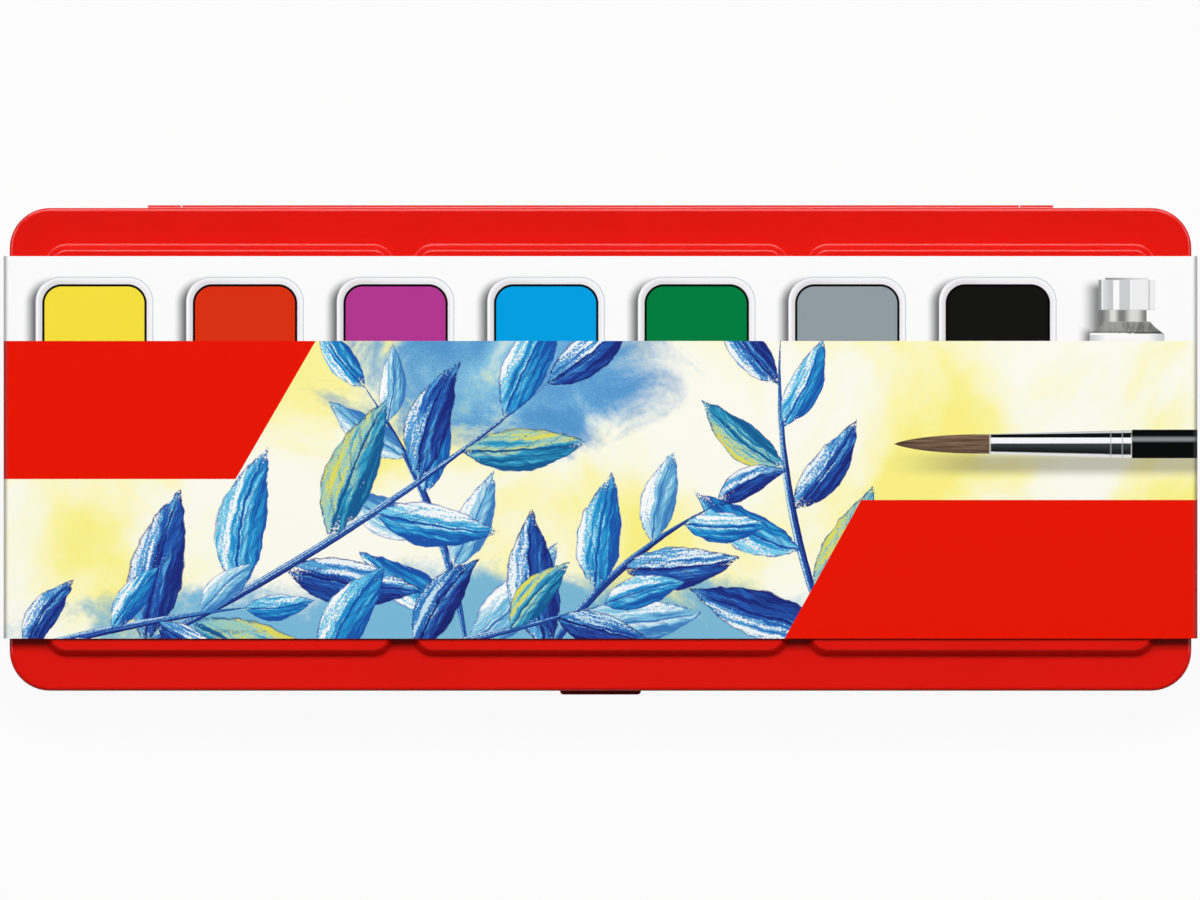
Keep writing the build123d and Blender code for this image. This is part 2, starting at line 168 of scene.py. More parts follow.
class Graph:
    """Adds nodes to a shader tree and wires them."""

    # Places of a Mix node's colour sockets, which share their names with others.
    mix_share, mix_first, mix_second, mix_result = 0, 6, 7, 2

    def __init__(self, tree: bpy.types.NodeTree) -> None:
        """Starts on the tree of a material, a world or a node group."""
        self.tree = tree

    @classmethod
    def on(cls, owner: bpy.types.Material | bpy.types.World) -> "Graph":
        """Starts on the emptied tree of a material or a world."""
        owner.use_nodes = True
        owner.node_tree.nodes.clear()
        return cls(owner.node_tree)

    def node(self, kind: str, **settings: object) -> bpy.types.Node:
        """Adds one node.

        Args:
            kind: the node's type name.
            **settings: properties of the node.

        Returns:
            The new node.
        """
        made = self.tree.nodes.new(kind)
        for name, value in settings.items():
            setattr(made, name, value)
        return made

    def feed(self, socket: bpy.types.NodeSocket, value: object) -> None:
        """Wires a signal to a socket, or sets a constant on it.

        Args:
            socket: an input.
            value: the signal, number, vector or colour.
        """
        if isinstance(value, Signal):
            self.tree.links.new(value.socket, socket)
        elif isinstance(value, tuple) and len(value) == 3 and socket.type == "RGBA":
            socket.default_value = (*value, 1.0)
        else:
            socket.default_value = value

    def signal(self, kind: str, output: str | int, inputs: dict[str | int, object], **settings: object) -> Signal:
        """Adds one node, feeds its inputs and hands on one of its outputs.

        Args:
            kind: the node's type name.
            output: the output's name or place.
            inputs: values by the input's name or place.
            **settings: properties of the node.

        Returns:
            The output.
        """
        made = self.node(kind, **settings)
        for key, value in inputs.items():
            self.feed(made.inputs[key], value)
        return Signal(self, made.outputs[output])

    def end(self, shader: Signal, kind: str) -> None:
        """Ends the graph with a shader, in an output node of the given type."""
        self.feed(self.node(kind).inputs["Surface"], shader)

    def rays(self) -> list[Signal]:
        """1 on rays from the camera, and 1 on reflections."""
        path = self.node("ShaderNodeLightPath")
        return [Signal(self, path.outputs[name]) for name in ("Is Camera Ray", "Is Glossy Ray")]

    def math(self, operation: str, *values: Signal | float) -> Signal:
        """A Math node on one or two values."""
        return self.signal("ShaderNodeMath", 0, dict(enumerate(values)), operation=operation)

    def mapped(
        self,
        where: Signal,
        scale: Sequence[float] = (1.0, 1.0, 1.0),
        turn: float = 0.0,
        centre: Sequence[float] = (0.0, 0.0, 0.0),
        kind: str = "POINT",
    ) -> Signal:
        """Coordinates scaled, turned about Z and moved by a Mapping node of a kind."""
        inputs = {"Vector": where, "Location": centre, "Rotation": (0.0, 0.0, turn), "Scale": scale}
        return self.signal("ShaderNodeMapping", "Vector", inputs, vector_type=kind)

    def split(self, where: Signal) -> list[Signal]:
        """The three parts of a vector."""
        parts = self.signal("ShaderNodeSeparateXYZ", 0, {0: where}).socket.node.outputs
        return [Signal(self, part) for part in parts]

    def join(self, *parts: Signal | float) -> Signal:
        """A vector from its three parts."""
        return self.signal("ShaderNodeCombineXYZ", 0, dict(enumerate(parts)))

    def noise(
        self, where: Signal, scale: Signal | float, detail: float = 2.0, roughness: float = 0.5, warp: float = 0.0
    ) -> Signal:
        """Soft noise around 0.5.

        Args:
            where: coordinates.
            scale: grains per unit of those coordinates.
            detail: octaves.
            roughness: strength of the finer octaves.
            warp: how far the noise distorts itself.

        Returns:
            The noise.
        """
        inputs = {"Vector": where, "Scale": scale, "Detail": detail, "Roughness": roughness, "Distortion": warp}
        return self.signal("ShaderNodeTexNoise", "Fac", inputs)

    def cells(self, where: Signal, scale: float) -> Signal:
        """Distance to the nearest of a scatter of points."""
        return self.signal("ShaderNodeTexVoronoi", "Distance", {"Vector": where, "Scale": scale})

    def steps(self, share: Signal, colours: Sequence[Colour]) -> Signal:
        """One of several flat colours, by equal steps of a value.

        Args:
            share: the value from 0 to 1.
            colours: the colours in order.

        Returns:
            The colour.
        """
        chosen = self.signal("ShaderNodeValToRGB", 0, {0: share})
        ramp = chosen.socket.node.color_ramp
        ramp.interpolation = "CONSTANT"
        while len(ramp.elements) < len(colours):
            ramp.elements.new(0.5)
        for i, colour in enumerate(colours):
            ramp.elements[i].position = i / len(colours)
            ramp.elements[i].color = (*colour, 1.0)
        return chosen

    def relief(self, height: Signal, depth: float) -> Signal:
        """The normal that a relief from 0 to 1 and of a depth in metres bends."""
        return self.signal("ShaderNodeBump", "Normal", {"Height": height, "Distance": depth})

    def group(self, effect: type["Effect"], **inputs: object) -> dict[str, Signal]:
        """Places a shared effect.

        Args:
            effect: which effect.
            **inputs: values of its sockets, with spaces written as underscores.

        Returns:
            Its outputs by name.
        """
        made = self.node("ShaderNodeGroup", node_tree=effect.tree())
        for name, value in inputs.items():
            self.feed(made.inputs[name.replace("_", " ")], value)
        return {s.name: Signal(self, s) for s in made.outputs}


# --- Effects that more than one finish uses ------------------------------------------------------


FLOAT, VECTOR, COLOUR = "NodeSocketFloat", "NodeSocketVector", "NodeSocketColor"
Source = Callable[[str], Signal]


class Effect:
    """A node group that is built once and placed in many materials.

    Its title is the group's name, and its sockets are its inputs by socket type.
    """

    title: str
    sockets: dict[str, tuple[str, ...]]

    @classmethod
    def tree(cls) -> bpy.types.NodeTree:
        """The group's tree, built at its first use."""
        found = bpy.data.node_groups.get(cls.title)
        if found:
            return found
        made = bpy.data.node_groups.new(cls.title, "ShaderNodeTree")
        for kind, names in cls.sockets.items():
            for name in names:
                made.interface.new_socket(name, in_out="INPUT", socket_type=kind)
        graph = Graph(made)
        entry = graph.node("NodeGroupInput")
        results = cls.draw(graph, lambda name: Signal(graph, entry.outputs[name]))
        for name, value in results.items():
            kind = COLOUR if value.socket.type == "RGBA" else FLOAT
            made.interface.new_socket(name, in_out="OUTPUT", socket_type=kind)
        way_out = graph.node("NodeGroupOutput")
        for name, value in results.items():
            graph.feed(way_out.inputs[name], value)
        return made

    @staticmethod
    def draw(graph: Graph, get: Source) -> dict[str, Signal]:
        """Builds the effect.

        Args:
            graph: the group's graph.
            get: finds one of the group's inputs by name.

        Returns:
            The group's outputs by name.
        """
        raise NotImplementedError


class SurfaceWave(Effect):
    """A slow wave and a fine grain, for lacquer, plastic, paint and card."""

    title = "surface wave"
    sockets = {VECTOR: ("Vector",), FLOAT: ("Wave Scale", "Grain Scale", "Grain Share")}

    @staticmethod
    def draw(graph: Graph, get: Source) -> dict[str, Signal]:
        """Both noises, mixed to a height and apart."""
        wave = graph.noise(get("Vector"), get("Wave Scale"), 2.0)
        grain = graph.noise(get("Vector"), get("Grain Scale"), 3.0)
        share = get("Grain Share")
        return {"Height": wave * (1.0 - share) + grain * share, "Wave": wave, "Grain": grain}


class HandlingMarks(Effect):
    """Hair-fine scratches in two directions, and soft smears."""

    title = "handling marks"
    sockets = {VECTOR: ("Vector",), FLOAT: ("Amount",)}

    @staticmethod
    def draw(graph: Graph, get: Source) -> dict[str, Signal]:
        """Noise drawn out into lines, and soft noise."""
        where, amount = get("Vector"), get("Amount")
        first, second = (
            graph.noise(graph.mapped(where, scale, turn), 1.0, 4.0, 0.6).rising(0.66, 0.74)
            for turn, scale in ((0.4, (30.0, 900.0, 30.0)), (-0.9, (40.0, 1300.0, 40.0)))
        )
        smear = graph.noise(where, 45.0, 3.0, 0.6, 1.0)
        return {"Scratches": first.at_least(second) * amount, "Smear": smear * amount}


class RoundBox(Effect):
    """Distance to the outline of a rectangle with round corners, below zero inside it."""

    title = "round box"
    sockets = {FLOAT: ("Across", "Up", "Half Width", "Half Height", "Radius")}

    @staticmethod
    def draw(graph: Graph, get: Source) -> dict[str, Signal]:
        """The distance, from how far a place lies beyond the straight sides."""
        radius = get("Radius")
        beyond_x = get("Across").size() - get("Half Width") + radius
        beyond_y = get("Up").size() - get("Half Height") + radius
        out_x, out_y = beyond_x.at_least(0.0), beyond_y.at_least(0.0)
        corner = graph.math("SQRT", out_x * out_x + out_y * out_y)
        return {"Distance": corner + beyond_x.at_least(beyond_y).at_most(0.0) - radius}


class LeafStroke(Effect):
    """One leaf painted over a colour: a dark body, strokes along it, dry light ones, a broken outline.

    Along runs from -1 at the stalk to 1 at the tip. The group hands Across on by way of its mask, so
    that the leaves of a picture are worked out one after another.
    """

    title = "leaf stroke"
    pigments = ("Dark", "Body", "Light", "Chalk")
    sockets = {
        FLOAT: (
            *("Across", "Up", "Grain", "Wobble", "X", "Y", "Along X", "Along Y"),
            *("Cross X", "Cross Y", "Bend", "Seed", "Veins"),
        ),
        COLOUR: ("Under", *pigments),
    }

    @staticmethod
    def draw(graph: Graph, get: Source) -> dict[str, Signal]:
        """The leaf's own coordinates, then its tones from the body to the chalk, then its mask."""
        right, rise = get("Across") - get("X"), get("Up") - get("Y")
        along = right * get("Along X") + rise * get("Along Y")
        hump = 1.0 - along * along
        wobble, grain = get("Wobble") - 0.5, get("Grain")
        cross = right * get("Cross X") + rise * get("Cross Y") - get("Bend") * hump + wobble * 0.25
        belly = hump.at_least(0.0) * (along * -0.3 + 0.95)
        streak = graph.noise(graph.join(along * 0.9, cross * 4.6, get("Seed")), 1.0, 3.0, 0.6)
        edge = belly - cross.size() + (streak - 0.5) * 0.22
        lit = cross / (belly + 0.25)
        tone = (lit * 0.3 + streak).rising(0.30, 0.48).mix(get("Dark"), get("Body"))
        tone = (lit * 0.3 + streak + grain * 0.2).rising(0.58, 0.68).mix(tone, get("Light"))
        rib = (cross.size() - (along * -0.02 + 0.04)).rising(0.03, -0.02) * along.rising(0.95, 0.7)
        veins = graph.math("SINE", (cross.size() * 0.7 - along) * 19.0) * 0.5 + 0.5
        veins = (veins + (streak - 0.5) * 1.4).rising(0.86, 0.98) * get("Veins") * edge.rising(0.0, 0.2)
        outline = edge.rising(0.16, 0.05) * (streak + grain * 0.3).rising(0.52, 0.62)
        tone = (rib + veins * 0.45 + outline).at_most(1.0).mix(tone, get("Dark"))
        brush = streak * 0.75 + grain * 0.5 + lit * 0.16 + hump * 0.12
        chalk = brush.rising(0.79, 0.87) * lit.rising(-0.25, 0.1) * edge.rising(0.02, 0.12) * (1.0 - rib)
        tone = chalk.mix(tone, get("Chalk"))
        cover = (streak * 0.5 + grain * 0.6 - (along.size() - 0.55).at_least(0.0) * 0.5).rising(0.30, 0.40)
        mask = edge.rising(0.0, 0.06) * cover
        return {"Over": mask.mix(get("Under"), tone), "Across": get("Across") + mask * 0.00001}


# --- Finishes ---------------------------------------------------------------------------------------


@dataclass(frozen=True)
class Finish:
    """A named material with one Principled BSDF."""

    name: str

    def material(self) -> bpy.types.Material:
        """The material, built at its first use."""
        name = self.name + "_finish"
        found = bpy.data.materials.get(name)
        if found:
            return found
        made = bpy.data.materials.new(name)
        graph = Graph.on(made)
        shader = graph.node("ShaderNodeBsdfPrincipled")
        graph.end(Signal(graph, shader.outputs["BSDF"]), "ShaderNodeOutputMaterial")
        where = graph.signal("ShaderNodeTexCoord", "Object", {})
        for socket, value in self.dress(graph, where).items():
            graph.feed(shader.inputs[socket], value)
        return made

    def dress(self, graph: Graph, where: Signal) -> dict[str, object]:
        """Works out the finish's colour, roughness and relief.

        Args:
            graph: the material's graph.
            where: the piece's own coordinates, in metres.

        Returns:
            Signals and constants by input of the Principled BSDF.
        """
        raise NotImplementedError


@dataclass(frozen=True)
class Lacquer(Finish):
    """Stove enamel or varnish: a smooth coat with a faint orange peel."""

    colour: Colour
    deep: Colour
    roughness: float = 0.14
    gloss: float = 0.9
    peel: float = 0.0000035

    def dress(self, graph: Graph, where: Signal) -> dict[str, object]:
        """A slightly mottled, slightly scuffed coat."""
        wave = graph.group(SurfaceWave, Vector=where, Wave_Scale=260.0, Grain_Scale=2600.0, Grain_Share=0.25)
        marks = graph.group(HandlingMarks, Vector=where, Amount=0.6)
        mottle = graph.noise(where, 38.0, 3.0, 0.55).rising(0.3, 0.75)
        return {
            "Base Color": (mottle * 0.35).mix(self.colour, self.deep),
            "Roughness": marks["Smear"] * 0.12 + marks["Scratches"] * 0.16 + (self.roughness - 0.03),
            "Specular IOR Level": self.gloss,
            "Normal": graph.relief(wave["Height"], self.peel),
        }


@dataclass(frozen=True)
class MouldedPlastic(Finish):
    """Injection- or vacuum-moulded plastic."""

    colour: Colour
    roughness: float
    grain: float = 0.00001

    def dress(self, graph: Graph, where: Signal) -> dict[str, object]:
        """A fine mould grain and a slight unevenness of tone."""
        wave = graph.group(SurfaceWave, Vector=where, Wave_Scale=150.0, Grain_Scale=4200.0, Grain_Share=0.55)
        marks = graph.group(HandlingMarks, Vector=where, Amount=0.5)
        shade = toned(self.colour, 0.93)
        return {
            "Base Color": (wave["Wave"].rising(0.3, 0.7) * 0.5).mix(self.colour, shade),
            "Roughness": marks["Smear"] * 0.1 + wave["Grain"] * 0.08 + (self.roughness - 0.06),
            "Normal": graph.relief(wave["Height"], self.grain),
        }


@dataclass(frozen=True)
class PressedGouache(Finish):
    """A matt cake of paint: fine pigment, pinholes, and a rubbed sheen here and there."""

    colour: Colour

    def dress(self, graph: Graph, where: Signal) -> dict[str, object]:
        """Pigment specks, pinholes with painted shade in them, and the press's fine waves."""
        wave = graph.group(SurfaceWave, Vector=where, Wave_Scale=420.0, Grain_Scale=5200.0, Grain_Share=0.5)
        # The pinholes: sunk in the relief, and darkened in the colour as painted shade.
        holes = graph.cells(where, 900.0).rising(0.18, 0.08)
        pale, deep = toned(self.colour, 1.12, 0.012), toned(self.colour, 0.78)
        tone = wave["Wave"].rising(0.32, 0.68).mix(self.colour, pale)
        return {
            "Base Color": coats(tone, (wave["Grain"].rising(0.56, 0.74) * 0.5, deep), (holes * 0.45, deep)),
            "Roughness": graph.noise(where, 120.0, 2.0) * 0.25 + 0.52,
            "Specular IOR Level": 0.3,
            "Normal": graph.relief(wave["Height"] - holes * 0.5, 0.00006),
        }


@dataclass(frozen=True)
class BareMetal(Finish):
    """Rolled, drawn or plated metal with fine lines along one axis."""

    colour: Colour
    roughness: float
    lines: tuple[float, float, float]
    dent: float = 0.00001

    def dress(self, graph: Graph, where: Signal) -> dict[str, object]:
        """Drawn lines and soft dents."""
        drawn = graph.noise(graph.mapped(where, self.lines), 1.0, 3.0, 0.6)
        marks = graph.group(HandlingMarks, Vector=where, Amount=0.7)
        dull = toned(self.colour, 0.8)
        return {
            "Base Color": (drawn.rising(0.3, 0.7) * 0.5).mix(self.colour, dull),
            "Metallic": 1.0,
            "Roughness": drawn * 0.12 + marks["Smear"] * 0.12 + (self.roughness - 0.08),
            "Normal": graph.relief(drawn + marks["Smear"], self.dent),
        }


@dataclass(frozen=True)
class BareCard(Finish):
    """Uncoated board: the wrap's inside or its cut edge."""

    colour: Colour
    fibre: Colour

    def dress(self, graph: Graph, where: Signal) -> dict[str, object]:
        """Long fibres and specks."""
        fibres = graph.noise(graph.mapped(where, (900.0, 2600.0, 2600.0)), 1.0, 4.0, 0.65, 0.6)
        specks = graph.cells(where, 1400.0).rising(0.16, 0.06)
        tone = fibres.rising(0.35, 0.7).mix(self.colour, self.fibre)
        return {
            "Base Color": (specks * 0.5).mix(tone, self.fibre),
            "Roughness": 0.9,
            "Specular IOR Level": 0.2,
            "Normal": graph.relief(fibres, 0.00004),
        }


@dataclass(frozen=True)
class CutHair(Finish):
    """Brown brush hair, darker towards its root."""

    colour: Colour
    tip: Colour
    axis_start: float
    axis_end: float

    def dress(self, graph: Graph, where: Signal) -> dict[str, object]:
        """Streaks along the hair and its change of tone from tip to root."""
        root = graph.split(where)[0].rising(self.axis_start, self.axis_end)
        streaks = graph.noise(graph.mapped(where, (60.0, 5200.0, 5200.0)), 1.0, 2.0, 0.6)
        dark = toned(self.colour, 0.35)
        return {
            "Base Color": streaks.rising(0.42, 0.7).mix(root.mix(self.tip, self.colour), dark),
            "Roughness": streaks * 0.3 + 0.3,
            "Normal": graph.relief(streaks, 0.00008),
        }


PAINTS: dict[str, Colour] = {
    "yellow": srgb(249, 226, 64),
    "vermilion": srgb(218, 50, 16),
    "magenta": srgb(178, 56, 144),
    "cyan": srgb(0, 160, 228),
    "green": srgb(0, 125, 64),
    "grey": srgb(145, 158, 163),
    "black": srgb(20, 20, 18),
}


# --- The wrap's print ----------------------------------------------------------------------------------


@dataclass(frozen=True)
class PrintedPans:
    """The row of pans in the white band along the back of the card. All sizes in millimetres."""

    first: float = -100.56
    pitch: float = 29.92
    rim_top: float = 34.3
    rim_half: float = 11.68
    rim_corner: float = 5.0
    cake_top: float = 32.37
    cake_half: float = 9.92
    cake_corner: float = 3.4
    outline: float = 0.47
    depth: float = 40.0
    shadow_shift: float = -1.9

    def box(self, across: Signal, up: Signal, half: float, top: float, corner: float) -> Signal:
        """Distance to a pan-shaped outline that runs off the band's lower edge.

        Args:
            across, up: the card's coordinates, with the pan's middle at across 0.
            half, top, corner: the outline's half width, its top, and the radius of its corners.

        Returns:
            The distance, below zero inside.
        """
        up, tall = up - (top - self.depth / 2), self.depth / 2
        box = across.graph.group(RoundBox, Across=across, Up=up, Half_Width=half, Half_Height=tall, Radius=corner)
        return box["Distance"]

    def draw(self, across: Signal, up: Signal, under: Signal | Colour) -> Signal:
        """Draws the seven pans.

        Args:
            across, up: the card's coordinates.
            under: the colour below.

        Returns:
            The colour with the pans on it.
        """
        count = len(PAINTS)
        slot = (across - (self.first - self.pitch / 2)) / self.pitch
        place = across.graph.math("FLOOR", slot)
        inside = (place + 0.5).rising(0.0, 0.4) * (place - (count - 0.5)).rising(0.0, -0.4)
        own = (slot - place - 0.5) * self.pitch
        rim = self.box(own, up, self.rim_half, self.rim_top, self.rim_corner)
        cake = self.box(own, up, self.cake_half, self.cake_top, self.cake_corner)
        shade = self.box(own - self.shadow_shift, up + 0.4, self.rim_half, self.rim_top, self.rim_corner)
        body = coats(
            rim.rising(-1.3, -0.2).mix(srgb(238, 236, 240), srgb(252, 252, 253)),
            (own.rising(2.0, -9.0) * rim.rising(-0.2, -1.2), srgb(224, 222, 224)),
            (rim.rising(-0.34, -0.02) * own.rising(-11.0, -9.0), srgb(196, 200, 206)),
        )
        return coats(
            under,
            (shade.rising(0.8, -1.9) * own.rising(2.0, -6.0) * 0.92 * inside, srgb(84, 84, 86)),
            (rim.rising(0.05, -0.05) * inside, body),
            (cake.rising(self.outline + 0.08, self.outline - 0.08) * inside, srgb(6, 4, 4)),
            (cake.rising(0.06, -0.06) * inside, across.graph.steps((place + 0.5) / count, list(PAINTS.values()))),
        )


@dataclass(frozen=True)
class PrintedTube:
    """The end of a paint tube at the right of the white band. All sizes in millimetres."""

    centre: float = 104.62
    cap_half: float = 5.65
    cap_top: float = 34.1
    cap_foot: float = 27.7
    disc_half: float = 4.35
    disc: float = 0.42
    neck_half: float = 3.9
    shoulder_top: float = 25.4
    shoulder_foot: float = 22.95
    shoulder_step: float = 0.7
    body_half: float = 7.4

    def cap(self, own: Signal, up: Signal, under: Signal) -> Signal:
        """Draws the faceted cap with the low disc on its end.

        Args:
            own, up: the card's coordinates, with the tube's middle at own 0.
            under: the colour below.

        Returns:
            The colour with the cap on it.
        """
        dark = srgb(150, 151, 153)
        facets = coats(
            own.rising(-4.9, -2.8).mix(srgb(222, 222, 223), srgb(198, 199, 201)),
            (own.near(-2.12, 0.7, 0.55), srgb(253)),
            (own.near(-0.44, 1.12, 1.0), srgb(206, 207, 209)),
            (own.rising(0.62, 0.72), srgb(240, 240, 241)),
            (own.near(0.78, 0.16, 0.08), srgb(254)),
            (own.near(4.4, 0.26, 0.14), srgb(208, 209, 211)),
            (own.rising(-5.0, -5.2), dark),
            (own.near(-4.86, 0.16, 0.08) * 0.7, srgb(250)),
            ((up - self.cap_foot).rising(0.25, 0.0) * 0.4, dark),
        )
        top = self.cap_top - self.disc
        sides = own.size().below(self.cap_half, 0.06) * up.below(top, 0.06) * up.above(self.cap_foot, 0.06)
        disc = own.size().below(self.disc_half, 0.06) * up.below(self.cap_top, 0.06) * up.above(top, 0.1)
        return coats(under, (sides, facets), (disc, own.rising(4.0, -4.0).mix(srgb(230, 230, 231), dark)))

    def draw(self, across: Signal, up: Signal, under: Signal | Colour) -> Signal:
        """Draws the tube: its shadow, its neck, its shoulder and its cap.

        Args:
            across, up: the card's coordinates.
            under: the colour below.

        Returns:
            The colour with the tube on it.
        """
        graph = across.graph
        own = across - self.centre
        turn = own / self.body_half
        bands = graph.noise(graph.join(own * 0.55, up * 0.05, 3.0), 1.0, 2.0, 0.6)
        folds = graph.noise(graph.join(own * 1.1, up * 0.3, 8.0), 1.0, 2.0, 0.6)

        cast = own.near(-4.6, 4.9, 0.6) * up.rising(34.2, 31.6) * own.rising(-2.0, -5.0)
        low = own.near(-6.6, 3.4, 0.6) * up.rising(25.5, 22.4)

        light = own.near(-2.75, 1.4, 0.2).at_least(own.near(1.45, 2.2, 0.5))
        neck_tone = (light * (bands * 0.5 + 0.72)).mix(srgb(128, 128, 124), srgb(224, 224, 218))
        neck = own.size().below(self.neck_half, 0.08) * up.below(self.cap_foot, 0.06)
        neck = neck * up.above(self.shoulder_top, 0.06)

        fall = (self.shoulder_top - up) / (self.shoulder_top - self.shoulder_foot)
        start = self.neck_half + self.shoulder_step
        half = (fall.at_least(0.0) * 0.62 + fall * fall * 0.38) * (self.body_half - start) + start
        shoulder = half.at_most(self.body_half).above(own.size(), 0.08) * up.below(self.shoulder_top, 0.1)
        metal = coats(
            (folds - turn * 0.12).rising(0.3, 0.66).mix(srgb(114, 114, 112), srgb(160, 160, 157)),
            (turn.size().rising(0.5, 1.0) * 0.5, srgb(78)),
            (fall.rising(0.76, 0.94) * 0.85, srgb(44)),
        )
        rim = (up - self.shoulder_foot).rising(0.12, 0.0)
        white = turn.size().rising(0.5, 1.0).mix(srgb(252), srgb(206, 208, 211))
        glint = up.near(self.shoulder_foot, 0.3, 0.12) * (bands - turn * 0.2).rising(0.44, 0.56)
        body = coats(
            under,
            (cast.at_least(low) * 0.85, srgb(66, 66, 68)),
            (neck, neck_tone),
            (shoulder, metal),
            (shoulder * rim, white),
            (shoulder * glint, srgb(255)),
        )
        return self.cap(own, up, body)


@dataclass(frozen=True)
class PrintedBrush:
    """The brush that lies across the right of the card. All sizes in millimetres."""

    height: float = 1.08
    tip: float = 58.35
    hair_end: float = 77.3
    ferrule_end: float = 105.6
    hair_half: float = 1.93
    ferrule_thin: float = 1.98
    ferrule_wide: float = 2.78
    handle_half: float = 2.84
    rings: tuple[float, float] = (101.4, 103.7)

    def hair(self, across: Signal, own: Signal, under: Signal) -> Signal:
        """Draws the tuft.

        Args:
            across, own: the card's coordinates, with the brush's axis at own 0.
            under: the colour below.

        Returns:
            The colour with the tuft on it.
        """
        graph = across.graph
        share = ((across - self.tip) / (self.hair_end - self.tip)).at_least(0.0).at_most(1.0)
        bluntness = (1.0 - graph.math("POWER", 1.0 - share, 2.6)).at_least(0.0)
        half = graph.math("POWER", bluntness, 0.8) * self.hair_half
        streaks = graph.noise(graph.join(across * 0.09, own * (4.2 - share), 4.0), 1.0, 3.0, 0.65)
        hair = coats(
            streaks.rising(0.36, 0.66).mix(srgb(84, 63, 48), srgb(140, 114, 92)),
            ((own / self.hair_half).rising(0.2, -1.0) * 0.5, srgb(70, 46, 38)),
            (share.rising(0.35, 0.0) * 0.6, srgb(52, 34, 28)),
        )
        mask = (half - own.size()).rising(-0.04, 0.08) * across.below(self.hair_end, 0.1)
        return (mask * (across - self.tip).rising(0.0, 0.1)).mix(under, hair)

    def ferrule(self, across: Signal, own: Signal, under: Signal) -> Signal:
        """Draws the plated ferrule, which widens towards the handle.

        Args:
            across, own: the card's coordinates, with the brush's axis at own 0.
            under: the colour below.

        Returns:
            The colour with the ferrule on it.
        """
        share = (across - self.hair_end) / (self.ferrule_end - self.hair_end)
        half = share.at_least(0.0) * (self.ferrule_wide - self.ferrule_thin) + self.ferrule_thin
        turn = own / (half + across.near(sum(self.rings) / 2, 2.6, 1.4) * 0.05)
        first, second = (across.near(ring, 0.22, 0.08) for ring in self.rings)
        silver = coats(
            (own - share * 0.34).rising(1.92, 1.84).mix(srgb(206, 208, 208), srgb(14, 16, 18)),
            (own.rising(1.32, 1.2), srgb(250, 251, 252)),
            (turn.rising(0.12, -0.02), srgb(52, 60, 60)),
            (turn.rising(-0.1, -0.62) * 0.8, srgb(12, 15, 16)),
            (turn.rising(-0.72, -0.82), srgb(228, 229, 228)),
            (first.at_least(second) * 0.5, srgb(168, 170, 170)),
            (share.rising(0.99, 0.996) * turn.rising(0.9, 0.4) * 0.6, srgb(226, 227, 227)),
            (share.rising(0.014, 0.006) * 0.8, srgb(196, 196, 194)),
        )
        mask = own.size().below(half, 0.06) * across.above(self.hair_end, 0.08)
        return (mask * across.below(self.ferrule_end, 0.08)).mix(under, silver)

    def draw(self, across: Signal, up: Signal, under: Signal) -> Signal:
        """Draws the brush and its shadow.

        Args:
            across, up: the card's coordinates.
            under: the colour below.

        Returns:
            The colour with the brush on it.
        """
        own = up - self.height
        shadow = own.near(-3.9, 3.3, 0.6) * (across - (self.tip - 4.0)).rising(0.0, 22.0)
        colour = (shadow * 0.6).mix(under, srgb(130, 126, 104))
        colour = self.ferrule(across, own, self.hair(across, own, colour))
        handle = (own.near(0.95, 0.75, 0.1) * 0.85).mix(srgb(8, 9, 9), srgb(150, 154, 156))
        mask = own.size().below(self.handle_half, 0.06) * across.above(self.ferrule_end, 0.08)
        return mask.mix(colour, handle)


class Mixture(Enum):
    """The mixtures on the painter's plate: dark, body, light and chalk."""

    NIGHT = (srgb(30, 44, 124), srgb(40, 92, 178), srgb(84, 164, 218), srgb(240, 247, 251))
    INK = (srgb(28, 38, 112), srgb(42, 74, 162), srgb(52, 130, 200), srgb(196, 226, 242))
    RIVER = (srgb(30, 84, 168), srgb(40, 150, 210), srgb(120, 206, 236), srgb(250, 252, 253))
    FROST = (srgb(62, 124, 190), srgb(122, 194, 226), srgb(186, 224, 240), srgb(255))
    MOSS = (srgb(24, 92, 148), srgb(52, 160, 200), srgb(156, 206, 196), srgb(226, 222, 92))


@dataclass(frozen=True)
class Stem:
    """A painted stem with leaves to both sides. Millimetres and degrees."""

    foot: tuple[float, float]
    turn: float
    length: float
    curve: float
    leaves: int
    leaf_length: float
    leaf_width: float
    mixtures: tuple[Mixture, ...]
    spread: float = 52.0
    thickness: float = 0.9

    def point(self, share: float) -> tuple[float, float, float]:
        """A place on the stem and the stem's direction there.

        Args:
            share: 0 at the foot and 1 at the tip.

        Returns:
            Across and up, in millimetres, and the direction in degrees.
        """
        turn = math.radians(self.turn + self.curve * share / 2)
        reach = self.length * share
        x, y = self.foot[0] + reach * math.cos(turn), self.foot[1] + reach * math.sin(turn)
        return x, y, self.turn + self.curve * share


def stroke(
    mixture: Mixture, seed: float, stalk: tuple[float, float], turn: float, half: float, wide: float, bend: float
) -> dict[str, object]:
    """The leaf stroke's inputs for one stroke of the brush.

    Args:
        mixture: its colours.
        seed: sets its bristle marks apart.
        stalk: where it starts, in millimetres.
        turn: its direction in degrees.
        half, wide: half its length and half its width.
        bend: how far its middle bows out, in half widths.

    Returns:
        Values by input.
    """
    x, y = math.cos(math.radians(turn)), math.sin(math.radians(turn))
    place = {"X": stalk[0] + half * x, "Y": stalk[1] + half * y, "Bend": bend, "Seed": seed, "Veins": 1.0}
    axes = {"Along_X": x / half, "Along_Y": y / half, "Cross_X": -y / wide, "Cross_Y": x / wide}
    return place | axes | dict(zip(LeafStroke.pigments, mixture.value))


